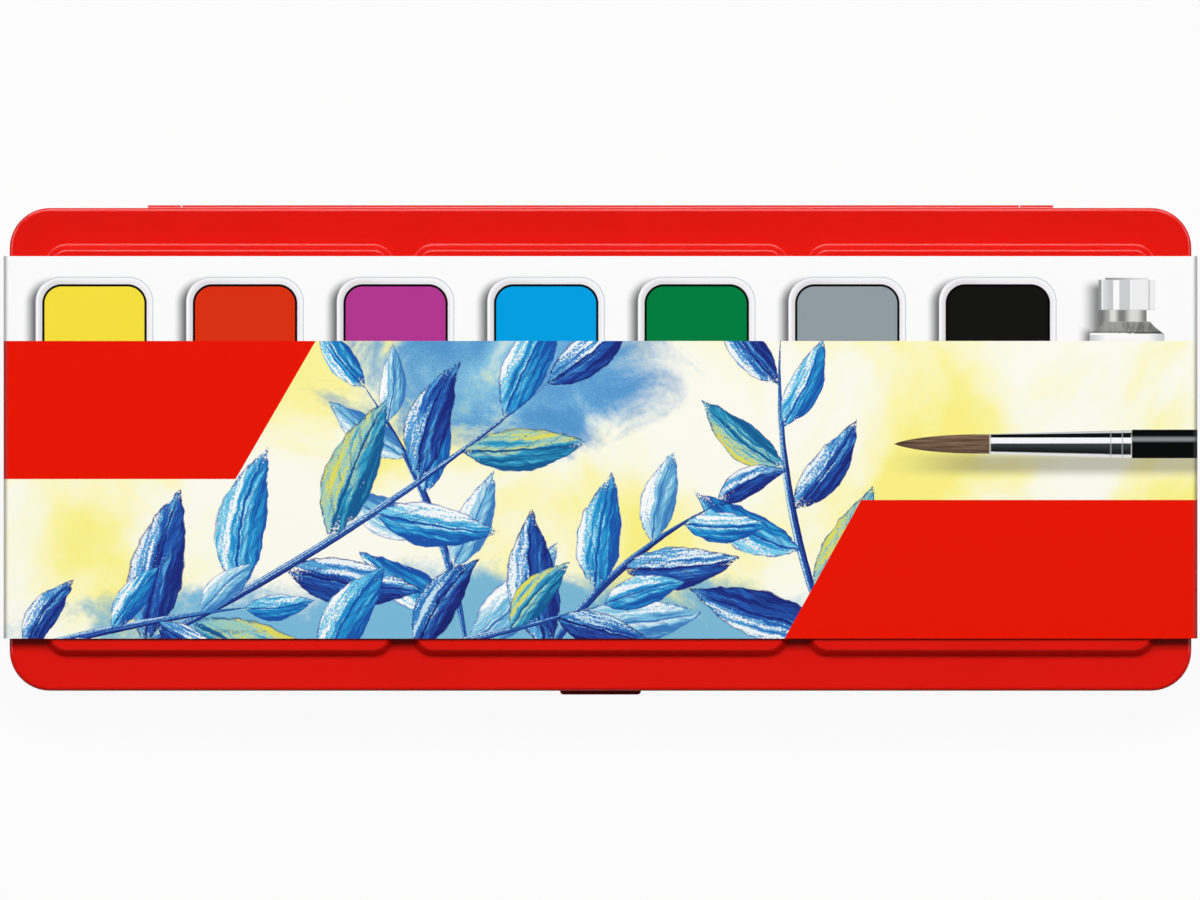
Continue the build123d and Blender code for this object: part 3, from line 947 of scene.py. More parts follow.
@dataclass(frozen=True)
class PaintedLeaves:
    """The card's picture: washes of yellow and blue with leafy stems in blues, painted in gouache."""

    stems: tuple[Stem, ...] = (
        Stem((-26.0, -44.0), 96.0, 63.0, 30.0, 8, 27.0, 9.5, (Mixture.FROST, Mixture.RIVER, Mixture.FROST)),
        Stem((50.0, -48.0), 116.0, 74.0, -30.0, 9, 30.0, 10.5, (Mixture.RIVER, Mixture.NIGHT, Mixture.MOSS)),
        Stem((-106.0, -46.0), 24.0, 116.0, 16.0, 11, 37.0, 13.0, (Mixture.RIVER, Mixture.NIGHT, Mixture.MOSS)),
        Stem((-16.0, -50.0), 64.0, 58.0, -40.0, 8, 29.0, 11.0, (Mixture.RIVER, Mixture.NIGHT, Mixture.FROST)),
        Stem((-128.0, -44.0), 18.0, 62.0, -12.0, 7, 21.0, 8.0, (Mixture.RIVER, Mixture.NIGHT, Mixture.FROST)),
        Stem((-70.0, -47.0), 10.0, 76.0, 6.0, 8, 27.0, 10.5, (Mixture.INK, Mixture.RIVER, Mixture.MOSS)),
    )
    seed: int = 11
    stroke_reach: float = 1.3

    def wash(self, where: Signal, across: Signal, up: Signal) -> Signal:
        """The wet washes under the leaves.

        Args:
            where: the card's coordinates as a vector.
            across, up: the same, apart.

        Returns:
            The colour of the washes.
        """
        graph = where.graph
        cloud = graph.noise(where, 0.024, 5.0, 0.52, 0.5)
        fine = graph.noise(where, 0.9, 4.0, 0.62) - 0.5
        yellow = cloud + fine * 0.04
        turned = graph.mapped(where, turn=0.3, centre=(40.0, 13.0, 0.0), kind="TEXTURE")
        drift = graph.noise(turned, 0.05, 5.0, 0.6, 0.8)
        far_x, far_y = (across + 20.0) / 40.0, (up - 15.0) / 20.0
        pond = (far_x * far_x + far_y * far_y) * -0.42 + drift + fine * 0.12
        grain = graph.noise(where, 2.6, 3.0, 0.7)
        blue = (drift * 0.7 + grain * 0.3).rising(0.38, 0.62).mix(srgb(132, 200, 234), srgb(56, 142, 206))
        low_x, low_y = (across + 20.0) / 110.0, (up + 42.0) / 20.0
        shore = (low_x * low_x + low_y * low_y) * -0.5 + drift + fine * 0.16
        return coats(
            yellow.rising(0.42, 0.60).mix(srgb(255, 254, 240), srgb(255, 249, 172)),
            (yellow.rising(0.54, 0.66) * 0.7, srgb(252, 240, 116)),
            (pond.rising(0.16, 0.44) * 0.95, blue),
            (shore.rising(0.0, 0.3) * 0.9, srgb(92, 176, 216)),
        )

    def strokes(self, stem: Stem, chance: random.Random) -> list[dict[str, object]]:
        """The stem and its leaves, from the foot to the tip.

        Args:
            stem: the stem.
            chance: the source of every stroke's small differences.

        Returns:
            The leaf stroke's inputs for each.
        """
        way, half = stem.turn + stem.curve / 2, stem.length / 2
        bend = -half * math.sin(math.radians(stem.curve / 4)) / stem.thickness
        stalk = stroke(Mixture.INK, chance.uniform(0.0, 90.0), stem.foot, way, half, stem.thickness, bend)
        made = [stalk | {"Veins": 0.0}]
        for i in range(stem.leaves):
            share, side = (i + 0.6) / stem.leaves, 1 if i % 2 else -1
            x, y, turn = stem.point(share)
            lean = turn + side * (stem.spread - 26.0 * share) + chance.uniform(-7.0, 7.0)
            if i == stem.leaves - 1:
                lean = turn
            size = 1.0 - 0.4 * share + chance.uniform(-0.08, 0.08)
            mixture, seed = stem.mixtures[i % len(stem.mixtures)], chance.uniform(0.0, 90.0)
            half, wide = stem.leaf_length * size / 2, stem.leaf_width * size / 2
            made.append(stroke(mixture, seed, (x, y), lean, half, wide, side * chance.uniform(0.1, 0.5)))
        return made

    def draw(self, where: Signal, across: Signal, up: Signal, window: tuple[float, float]) -> Signal:
        """Draws the picture, without the strokes that do not reach a window.

        Args:
            where: the card's coordinates as a vector.
            across, up: the same, apart.
            window: the window's first and last place across the card.

        Returns:
            The picture's colour.
        """
        graph = where.graph
        colour = self.wash(where, across, up)
        same = {"Up": up, "Grain": graph.noise(where, 2.2, 3.0, 0.7), "Wobble": graph.noise(where, 0.35, 2.0, 0.5)}
        chance = random.Random(self.seed)
        for mark in (mark for stem in self.stems for mark in self.strokes(stem, chance)):
            reach = self.stroke_reach / math.hypot(mark["Along_X"], mark["Along_Y"])
            if window[0] - reach < mark["X"] < window[1] + reach:
                leaf = graph.group(LeafStroke, Across=across, Under=colour, **same, **mark)
                across, colour = leaf["Across"], leaf["Over"]
        return colour


@dataclass(frozen=True)
class PrintedCard(Finish):
    """The printed, varnished outside of the wrap. Its parts keep their coordinates in millimetres."""

    # Where the painted shade along each fold lies across the card, and half its width, in millimetres.
    crease_shade: float = 118.45
    crease_shade_half: float = 0.9

    def picture(self, spot: Signal, across: Signal, up: Signal) -> Signal:
        """The print's colour at a place on the card.

        Args:
            spot: the card's coordinates as a vector.
            across, up: the same, apart.

        Returns:
            The colour.
        """
        raise NotImplementedError

    def dress(self, graph: Graph, where: Signal) -> dict[str, object]:
        """The print, a painted grey shade along the folds, and the card's fibres under the varnish."""
        spot = graph.signal("ShaderNodeUVMap", "UV", {}, uv_map=CardWrap.print_map)
        across, up, _ = graph.split(spot)
        colour = self.picture(spot, across, up)
        fibre = graph.group(SurfaceWave, Vector=where, Wave_Scale=90.0, Grain_Scale=1500.0, Grain_Share=0.6)
        marks = graph.group(HandlingMarks, Vector=where, Amount=0.4)
        # Painted shade: the print is greyed along each fold, where the rounded card turns away from the light.
        crease_shade = across.size().near(self.crease_shade, self.crease_shade_half, 0.0)
        return {
            "Base Color": (crease_shade * 0.5).mix(colour, srgb(70, 70, 72)),
            "Roughness": fibre["Grain"] * 0.12 + marks["Scratches"] * 0.1 + 0.42,
            "Specular IOR Level": 0.07,
            "Normal": graph.relief(fibre["Height"], 0.00002),
        }


@dataclass(frozen=True)
class PrintedBand(PrintedCard):
    """The white band with the pans and the tube."""

    foot: float = 21.55

    def picture(self, spot: Signal, across: Signal, up: Signal) -> Signal:
        """The pans, then the tube, on white."""
        return PrintedTube().draw(across, up, PrintedPans().draw(across, up, srgb(254)))


@dataclass(frozen=True)
class PrintedPicture(PrintedCard):
    """One window of the picture, with its share of the two bare red panels and of the brush."""

    window: tuple[float, float] = (-math.inf, math.inf)
    left_panel: tuple[float, float, float] = (-56.6, -5.9, 0.58)
    right_panel: tuple[float, float, float] = (51.8, -10.05, 0.553)
    ink: Colour = srgb(233, 22, 2)

    def picture(self, spot: Signal, across: Signal, up: Signal) -> Signal:
        """The leaves, then the brush, then the panels."""
        colour = PaintedLeaves().draw(spot, across, up, self.window)
        if self.window[1] > PrintedBrush.tip:
            colour = PrintedBrush().draw(across, up, colour)
        edge, foot, slant = self.left_panel
        side = across - edge - (up - PrintedBand.foot) * slant
        left = side.rising(0.05, -0.05) * up.above(foot, 0.05)
        edge, top, slant = self.right_panel
        side = across - edge - (up - top) * slant
        right = side.rising(-0.05, 0.05) * up.below(top, 0.05)
        return left.at_least(right).mix(colour, self.ink)


# --- Modelling ------------------------------------------------------------------------------------------

TOUCH = 1e-6
FLAT = math.radians(0.5)
Test = Callable[[Vector, Vector], bool]


def at(axis: str, value: float) -> Test:
    """A test for faces and edges whose middle lies at a place along an axis."""
    return lambda middle, _: abs(getattr(middle, axis) - value) < TOUCH


def towards(axis: str, sign: int) -> Test:
    """A test for faces that look along an axis, or against it."""
    return lambda _, normal: getattr(normal, axis) * sign > 0.9


def upright(middle: Vector, direction: Vector) -> bool:
    """Whether an edge stands along Z."""
    return abs(direction.z) > 0.99


class Bench:
    """One piece on the bench, and the moves that shape it."""

    def __init__(self, name: str) -> None:
        """Takes the object that an operator has just added, under the piece's name."""
        self.piece = bpy.context.object
        self.piece.name = self.piece.data.name = name
        bpy.ops.object.transform_apply(location=True, rotation=True, scale=True)

    @staticmethod
    def clear() -> None:
        """Leaves edit mode and deselects every object."""
        if bpy.context.object and bpy.context.object.mode != "OBJECT":
            bpy.ops.object.mode_set(mode="OBJECT")
        bpy.ops.object.select_all(action="DESELECT")

    @classmethod
    def block(cls, name: str, low: Sequence[float], high: Sequence[float]) -> "Bench":
        """Starts on a block.

        Args:
            name: the piece's name.
            low, high: two opposite corners.

        Returns:
            The bench.
        """
        cls.clear()
        low, high = Vector(low), Vector(high)
        bpy.ops.mesh.primitive_cube_add(size=1.0, location=(low + high) / 2, scale=high - low)
        return cls(name)

    @classmethod
    def rod(cls, name: str, start: Vector, end: Vector, radius: float, sides: int = 64) -> "Bench":
        """Starts on a rod.

        Args:
            name: the piece's name.
            start, end: the middles of its ends.
            radius: its radius.
            sides: its number of sides.

        Returns:
            The bench.
        """
        cls.clear()
        turn = (end - start).to_track_quat("Z", "Y").to_euler()
        bpy.ops.mesh.primitive_cylinder_add(
            vertices=sides, radius=radius, depth=(end - start).length, location=(start + end) / 2, rotation=turn
        )
        return cls(name)

    @classmethod
    def cast(cls, name: str, node: str, flatten: float = 0.0) -> "Bench":
        """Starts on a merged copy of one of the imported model's nodes.

        Args:
            name: the piece's name.
            node: the node.
            flatten: faces that meet at less than this angle in radians are merged.

        Returns:
            The bench.
        """
        cls.clear()
        copy = bpy.data.objects.new(name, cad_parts[node].data.copy())
        bpy.context.scene.collection.objects.link(copy)
        copy.select_set(True)
        bpy.context.view_layer.objects.active = copy
        copy.data.materials.clear()
        made = cls(name).edit().weld(0.002 * MM)
        if flatten:
            bpy.ops.mesh.dissolve_limited(angle_limit=flatten)
        return made.done()

    def copy(self, name: str, move: Sequence[float]) -> "Bench":
        """A copy with its own mesh, moved.

        Args:
            name: the copy's name.
            move: how far it is moved.

        Returns:
            The copy's bench.
        """
        self.hold()
        bpy.ops.object.duplicate(linked=False)
        bpy.ops.transform.translate(value=tuple(move))
        return Bench(name)

    def hold(self) -> None:
        """Makes this the only selected and active piece."""
        self.clear()
        self.piece.select_set(True)
        bpy.context.view_layer.objects.active = self.piece

    def edit(self) -> "Bench":
        """Opens the mesh with nothing selected."""
        self.hold()
        bpy.ops.object.mode_set(mode="EDIT")
        bpy.ops.mesh.select_mode(type="FACE")
        bpy.ops.mesh.select_all(action="DESELECT")
        return self

    def done(self) -> "Bench":
        """Closes the mesh."""
        bpy.ops.object.mode_set(mode="OBJECT")
        return self

    def every(self) -> "Bench":
        """Selects the whole mesh."""
        bpy.ops.mesh.select_all(action="SELECT")
        return self

    def weld(self, gap: float) -> "Bench":
        """Merges the points of the whole mesh that lie closer than a gap."""
        self.every()
        bpy.ops.mesh.remove_doubles(threshold=gap)
        return self

    def cut(self, axis: str, value: float) -> "Bench":
        """Cuts the whole mesh's faces along a plane.

        Args:
            axis: the axis that the plane stands across.
            value: the plane's place on it.

        Returns:
            This bench.
        """
        self.every()
        normal = Vector([float(axis == own) for own in "xyz"])
        bpy.ops.mesh.bisect(plane_co=normal * value, plane_no=normal)
        return self

    def faces(self, test: Test) -> "Bench":
        """Selects faces.

        Args:
            test: takes a face's middle and normal.

        Returns:
            This bench.
        """
        bpy.ops.mesh.select_mode(type="FACE")
        bpy.ops.mesh.select_all(action="DESELECT")
        for face in bmesh.from_edit_mesh(self.piece.data).faces:
            face.select_set(test(face.calc_center_median(), face.normal))
        bmesh.update_edit_mesh(self.piece.data)
        return self

    def edges(self, test: Test) -> "Bench":
        """Selects edges.

        Args:
            test: takes an edge's middle and direction.

        Returns:
            This bench.
        """
        bpy.ops.mesh.select_mode(type="EDGE")
        bpy.ops.mesh.select_all(action="DESELECT")
        for edge in bmesh.from_edit_mesh(self.piece.data).edges:
            first, second = edge.verts[0].co, edge.verts[1].co
            if test((first + second) / 2, (second - first).normalized()):
                edge.select_set(True)
        bmesh.update_edit_mesh(self.piece.data)
        return self

    def push(self, *move: float) -> "Bench":
        """Extrudes what is selected."""
        bpy.ops.mesh.extrude_region_move(TRANSFORM_OT_translate={"value": move})
        return self

    def inset(self, width: float, rise: float = 0.0) -> "Bench":
        """Insets the selected faces, and raises the inner part."""
        bpy.ops.mesh.inset(thickness=width, depth=rise, use_even_offset=True)
        return self

    def bevel(self, width: float, segments: int = 3) -> "Bench":
        """Rounds the selected edges."""
        bpy.ops.mesh.bevel(offset=width, segments=segments, affect="EDGES", profile=0.5, clamp_overlap=True)
        return self

    def resize(self, x: float, y: float, z: float, centre: Sequence[float]) -> "Bench":
        """Scales what is selected about a point."""
        bpy.ops.transform.resize(value=(x, y, z), center_override=tuple(centre))
        return self

    def modify(self, kind: str, **settings: object) -> "Bench":
        """Adds a modifier and applies it.

        Args:
            kind: the modifier's type.
            **settings: its properties.

        Returns:
            This bench.
        """
        self.hold()
        added = self.piece.modifiers.new(kind.lower(), kind)
        for name, value in settings.items():
            setattr(added, name, value)
        bpy.ops.object.modifier_apply(modifier=added.name)
        return self

    def soften(self, width: float, segments: int = 2, angle: float = 40.0) -> "Bench":
        """Rounds every edge sharper than an angle in degrees."""
        limit = math.radians(angle)
        return self.modify("BEVEL", width=width, segments=segments, limit_method="ANGLE", angle_limit=limit)

    def paint(self, *finishes: Finish) -> "Bench":
        """Gives the piece its materials, the first one all over."""
        for finish in finishes:
            self.piece.data.materials.append(finish.material())
        return self

    def recolour(self, place: int, test: Test) -> "Bench":
        """Gives some faces another of the piece's materials.

        Args:
            place: the material's place on the piece.
            test: takes a face's middle and normal.

        Returns:
            This bench.
        """
        for face in self.piece.data.polygons:
            if test(face.center, face.normal):
                face.material_index = place
        return self

    def smooth(self, angle: float = 35.0, weigh: bool = True) -> "Bench":
        """Shades the piece smooth.

        Args:
            angle: the sharpest edge that is smoothed, in degrees.
            weigh: whether large faces keep their own normal.

        Returns:
            This bench.
        """
        self.hold()
        bpy.ops.object.shade_smooth_by_angle(angle=math.radians(angle))
        return self.modify("WEIGHTED_NORMAL", keep_sharp=True, weight=80) if weigh else self

    def place(self, body: str, slot: str, *nodes: str) -> None:
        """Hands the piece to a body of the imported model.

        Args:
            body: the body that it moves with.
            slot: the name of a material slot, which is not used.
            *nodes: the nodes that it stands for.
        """
        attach(self.piece, body)
        if nodes:
            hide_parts(*nodes)
        log.info("%s: %d faces, on %s", self.piece.name, len(self.piece.data.polygons), body)


# --- The tin ------------------------------------------------------------------------------------------


@dataclass
class LacqueredTin:
    """The lid, the base and the hinge between them."""

    sheet: float = 0.3 * MM
    hem: float = 1.5 * MM
    rim: float = 1.0 * MM
    knuckle_round: float = 0.11 * MM

    outside = Lacquer("red_lacquer", srgb(231, 22, 12), srgb(219, 18, 11))
    inside = Lacquer("white_enamel", srgb(240, 240, 236), srgb(232, 232, 226), roughness=0.22, gloss=0.5)
    wire = BareMetal("steel_wire", (0.5, 0.5, 0.51), 0.3, (60.0, 2500.0, 2500.0))

    def build_shell(self, name: str, node: str, is_inside: Test) -> None:
        """One shell, lacquered outside and enamelled inside.

        Args:
            name: the piece's name, which is also its body's.
            node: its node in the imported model.
            is_inside: tells the enamelled faces.
        """
        shell = Bench.cast(name, node).paint(self.outside, self.inside).recolour(1, is_inside).smooth(30.0)
        shell.place(name, "red_lacquer", node)

    def build_lid(self) -> None:
        """The lid, red round its hem too."""
        hem_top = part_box("lid_shell")[0].z + self.hem

        def is_inside(middle: Vector, normal: Vector) -> bool:
            """Whether a face looks down or inwards above the hem."""
            inward = normal.x * middle.x + normal.y * middle.y < 0
            return middle.z > hem_top and (normal.z < -0.05 or (normal.z <= 0.05 and inward))

        self.build_shell("lid", "lid_shell", is_inside)

    def build_base(self) -> None:
        """The base, its curled rim red all round."""
        low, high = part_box("tin_base")
        rim, floor = high.z - self.rim, low.z + self.sheet / 2

        def is_inside(middle: Vector, normal: Vector) -> bool:
            """Whether a face looks up from the floor or inwards below the rim."""
            inward = normal.x * middle.x + normal.y * middle.y < 0
            return middle.z < rim and ((normal.z > 0.05 and middle.z > floor) or (abs(normal.z) <= 0.05 and inward))

        self.build_shell("base", "tin_base", is_inside)

    def build_hinge(self) -> None:
        """Both curled leaves, whose knuckle ends are rounded, and the wire."""
        for body in ("base", "lid"):
            node = f"{body}_hinge_leaf"
            leaf = Bench.cast(f"{body}_leaf", node, FLAT).soften(self.knuckle_round)
            leaf.paint(self.outside).smooth(40.0).place(body, "red_lacquer", node)
        pin = Bench.cast("hinge_wire", "hinge_pin", FLAT)
        pin.paint(self.wire).smooth(30.0).place("base", "steel_wire", "hinge_pin")

    def build(self) -> None:
        """Builds the whole tin."""
        self.build_lid()
        self.build_base()
        self.build_hinge()


# --- The card wrap --------------------------------------------------------------------------------------


@dataclass
class CardWrap:
    """The printed card, folded down both ends of the lid and hooked under its hem."""

    card: float = 0.4 * MM
    fold: float = 1.0 * MM
    hook: float = 0.9 * MM
    fold_steps: int = 8
    borders: tuple[float, ...] = (-64.0, -37.0, -10.0, 17.0, 44.0)  # millimetres

    print_map = "unrolled"
    band = PrintedBand("card_band")
    back = BareCard("card_back", srgb(226, 223, 214), srgb(206, 202, 192))
    edge = BareCard("card_edge", srgb(238, 236, 230), srgb(214, 210, 202))

    def unroll(self, x: float, z: float, side: float, top: float, foot: float) -> float:
        """How far a point of the outside lies from the middle of the flat card.

        Args:
            x, z: the point.
            side: half the length between the outer sides.
            top, foot: heights of the upper and lower outer faces.

        Returns:
            The distance along the card, in metres.
        """
        flat = side - self.fold
        quarter = math.pi / 2 * self.fold
        reach, upper, lower = abs(x), top - self.fold, foot + self.fold
        if reach <= flat:
            return x if z > (top + foot) / 2 else math.copysign(flat + 2 * quarter + upper - lower + flat - reach, x)
        if z >= upper:
            run = flat + self.fold * math.atan2(reach - flat, z - upper)
        elif z >= lower:
            run = flat + quarter + upper - z
        else:
            run = flat + quarter + upper - lower + self.fold * math.atan2(lower - z, reach - flat)
        return math.copysign(run, x)

    def build(self) -> None:
        """Folds the card from one flat strip, gives it its thickness and lays the print out on it."""
        low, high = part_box("card_wrap")
        flat, upper, lower = high.x - self.fold, high.z - self.fold, low.z + self.fold
        Bench.clear()
        bpy.ops.mesh.primitive_plane_add(size=1.0, location=(0.0, (low.y + high.y) / 2, high.z))
        bpy.context.object.scale = (2 * flat, high.y - low.y, 1.0)
        wrap = Bench("wrap").edit()
        for side in (1, -1):
            wrap.edges(lambda middle, _: at("x", side * flat)(middle, _) and at("z", high.z)(middle, _))
            self.turn_down((side * flat, 0.0, upper), side)
            wrap.push(0.0, 0.0, lower - upper)
            self.turn_down((side * flat, 0.0, lower), side)
            wrap.push(-side * self.hook, 0.0, 0.0)
        wrap.weld(0.001 * MM)
        bpy.ops.mesh.normals_make_consistent(inside=False)
        wrap.done()
        if max(wrap.piece.data.polygons, key=lambda face: face.area).normal.z < 0:
            wrap.edit().every()
            bpy.ops.mesh.flip_normals()
            wrap.done()
        wrap.paint(self.band, self.back, self.edge, *self.windows())
        wrap.modify("SOLIDIFY", thickness=self.card, offset=-1.0, material_offset=1, material_offset_rim=2)
        self.share_out(wrap)
        self.lay_out(wrap, high.x, high.z, low.z)
        wrap.smooth(30.0).place("wrap", "printed_card", "card_wrap")

    def windows(self) -> list[Finish]:
        """The finishes of the picture's windows, from left to right."""
        ends = (-math.inf, *self.borders, math.inf)
        return [PrintedPicture(f"card_picture_{i}", window=pair) for i, pair in enumerate(zip(ends, ends[1:]))]

    def share_out(self, wrap: Bench) -> None:
        """Cuts the card's faces along the windows and gives each outer face its own print.

        Args:
            wrap: the folded card.
        """
        foot = self.band.foot * MM
        wrap.edit()
        for border in self.borders:
            wrap.cut("x", border * MM)
        wrap.cut("y", foot).done()
        for face in wrap.piece.data.polygons:
            if face.material_index == 0 and face.center.y < foot:
                face.material_index = 3 + sum(face.center.x > border * MM for border in self.borders)

    def turn_down(self, centre: Sequence[float], side: int) -> None:
        """Rolls the selected edge a quarter turn round a fold."""
        angle = -side * math.pi / 2
        bpy.ops.mesh.spin(steps=self.fold_steps, angle=angle, center=centre, axis=(0.0, 1.0, 0.0))

    def lay_out(self, wrap: Bench, side: float, top: float, foot: float) -> None:
        """Writes the card's unrolled millimetres into its UV map.

        Args:
            wrap: the folded card.
            side, top, foot: as for unroll.
        """
        mesh = wrap.piece.data
        layer = mesh.uv_layers.new(name=self.print_map)
        for face in mesh.polygons:
            outwards = face.normal * (-self.card if face.material_index == 1 else 0.0)
            for corner in face.loop_indices:
                spot = mesh.vertices[mesh.loops[corner].vertex_index].co + outwards
                layer.data[corner].uv = (self.unroll(spot.x, spot.z, side, top, foot) / MM, spot.y / MM)


# --- The tray, the pans and the cakes ---------------------------------------------------------------------


@dataclass
class MouldedTray:
    """The white moulding that holds the pans, the tube and the brush."""

    edge: float = 0.25 * MM

    plastic = MouldedPlastic("white_tray", srgb(240, 241, 240), 0.36)

    def build(self) -> None:
        """Builds the tray with its edges rounded."""
        tray = Bench.cast("tray", "pan_tray", FLAT).soften(self.edge)
        tray.paint(self.plastic).smooth(40.0).place("base", "white_tray", "pan_tray")


@dataclass
class PaintPans:
    """Seven white pans, each with its pressed cake of gouache."""

    flange: float = 1.0 * MM
    rim: float = 1.7 * MM
    corner: float = 4.8 * MM
    cup_inset: float = 0.7 * MM
    floor: float = 0.9 * MM
    rim_round: float = 0.4 * MM
    foot_round: float = 0.6 * MM
    cake_corner: float = 2.9 * MM
    cake_round: float = 0.25 * MM
    dish: tuple[tuple[float, float], ...] = ((0.4, 0.0), (0.4, -0.07), (0.5, -0.05), (0.6, -0.03), (0.6, 0.0))
    corner_steps: int = 10

    plastic = MouldedPlastic("white_pan", srgb(246, 247, 247), 0.26)

    def build_pan(self, low: Vector, high: Vector) -> Bench:
        """One pan: a flange with the cup extruded from it and the hollow sunk into it.

        Args:
            low, high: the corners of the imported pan.

        Returns:
            The pan.
        """
        deck = high.z - self.flange
        pan = Bench.block("pan", (low.x, low.y, deck), high).edit()
        pan.edges(upright).bevel(self.corner, self.corner_steps)
        pan.faces(towards("z", -1)).inset(self.cup_inset).push(0.0, 0.0, low.z - deck)
        pan.faces(towards("z", 1)).inset(self.rim).push(0.0, 0.0, low.z + self.floor - high.z)
        pan.edges(at("z", high.z)).bevel(self.rim_round)
        return pan.edges(at("z", low.z)).bevel(self.foot_round).done()

    def build_cake(self, low: Vector, high: Vector) -> Bench:
        """One cake: a rounded block whose top was pressed into a shallow dish.

        Args:
            low, high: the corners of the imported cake.

        Returns:
            The cake.
        """
        cake = Bench.block("cake", low, high).edit()
        cake.edges(upright).bevel(self.cake_corner, self.corner_steps)
        cake.faces(towards("z", 1))
        for width, rise in self.dish:
            cake.inset(width * MM, rise * MM)
        cake.edges(lambda middle, way: at("z", high.z)(middle, way) and self.is_outline(middle, low, high))
        return cake.bevel(self.cake_round).done()

    def is_outline(self, middle: Vector, low: Vector, high: Vector) -> bool:
        """Whether an edge's middle lies on the cake's outline, seen from above.

        Args:
            middle: the edge's middle.
            low, high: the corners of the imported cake.

        Returns:
            Whether it does.
        """
        centre, half = (low + high) / 2, (high - low) / 2
        beyond_x = abs(middle.x - centre.x) - half.x + self.cake_corner
        beyond_y = abs(middle.y - centre.y) - half.y + self.cake_corner
        reach = math.hypot(max(beyond_x, 0.0), max(beyond_y, 0.0)) + min(max(beyond_x, beyond_y), 0.0)
        return reach > self.cake_corner - 0.1 * MM

    def build(self) -> None:
        """Models one pan and one cake, and copies them along the row."""
        first = next(iter(PAINTS))
        for kind, build in (("pan", self.build_pan), ("cake", self.build_cake)):
            start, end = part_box(f"{kind}_{first}")
            model = build(start, end)
            for colour, paint in PAINTS.items():
                node = f"{kind}_{colour}"
                finish = self.plastic if kind == "pan" else PressedGouache(f"gouache_{colour}", paint)
                copy = model.copy(f"{colour}_{kind}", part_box(node)[0] - start)
                copy.paint(finish).smooth().place("base", finish.name, node)
            bpy.data.objects.remove(model.piece)


# --- The tube ------------------------------------------------------------------------------------------------


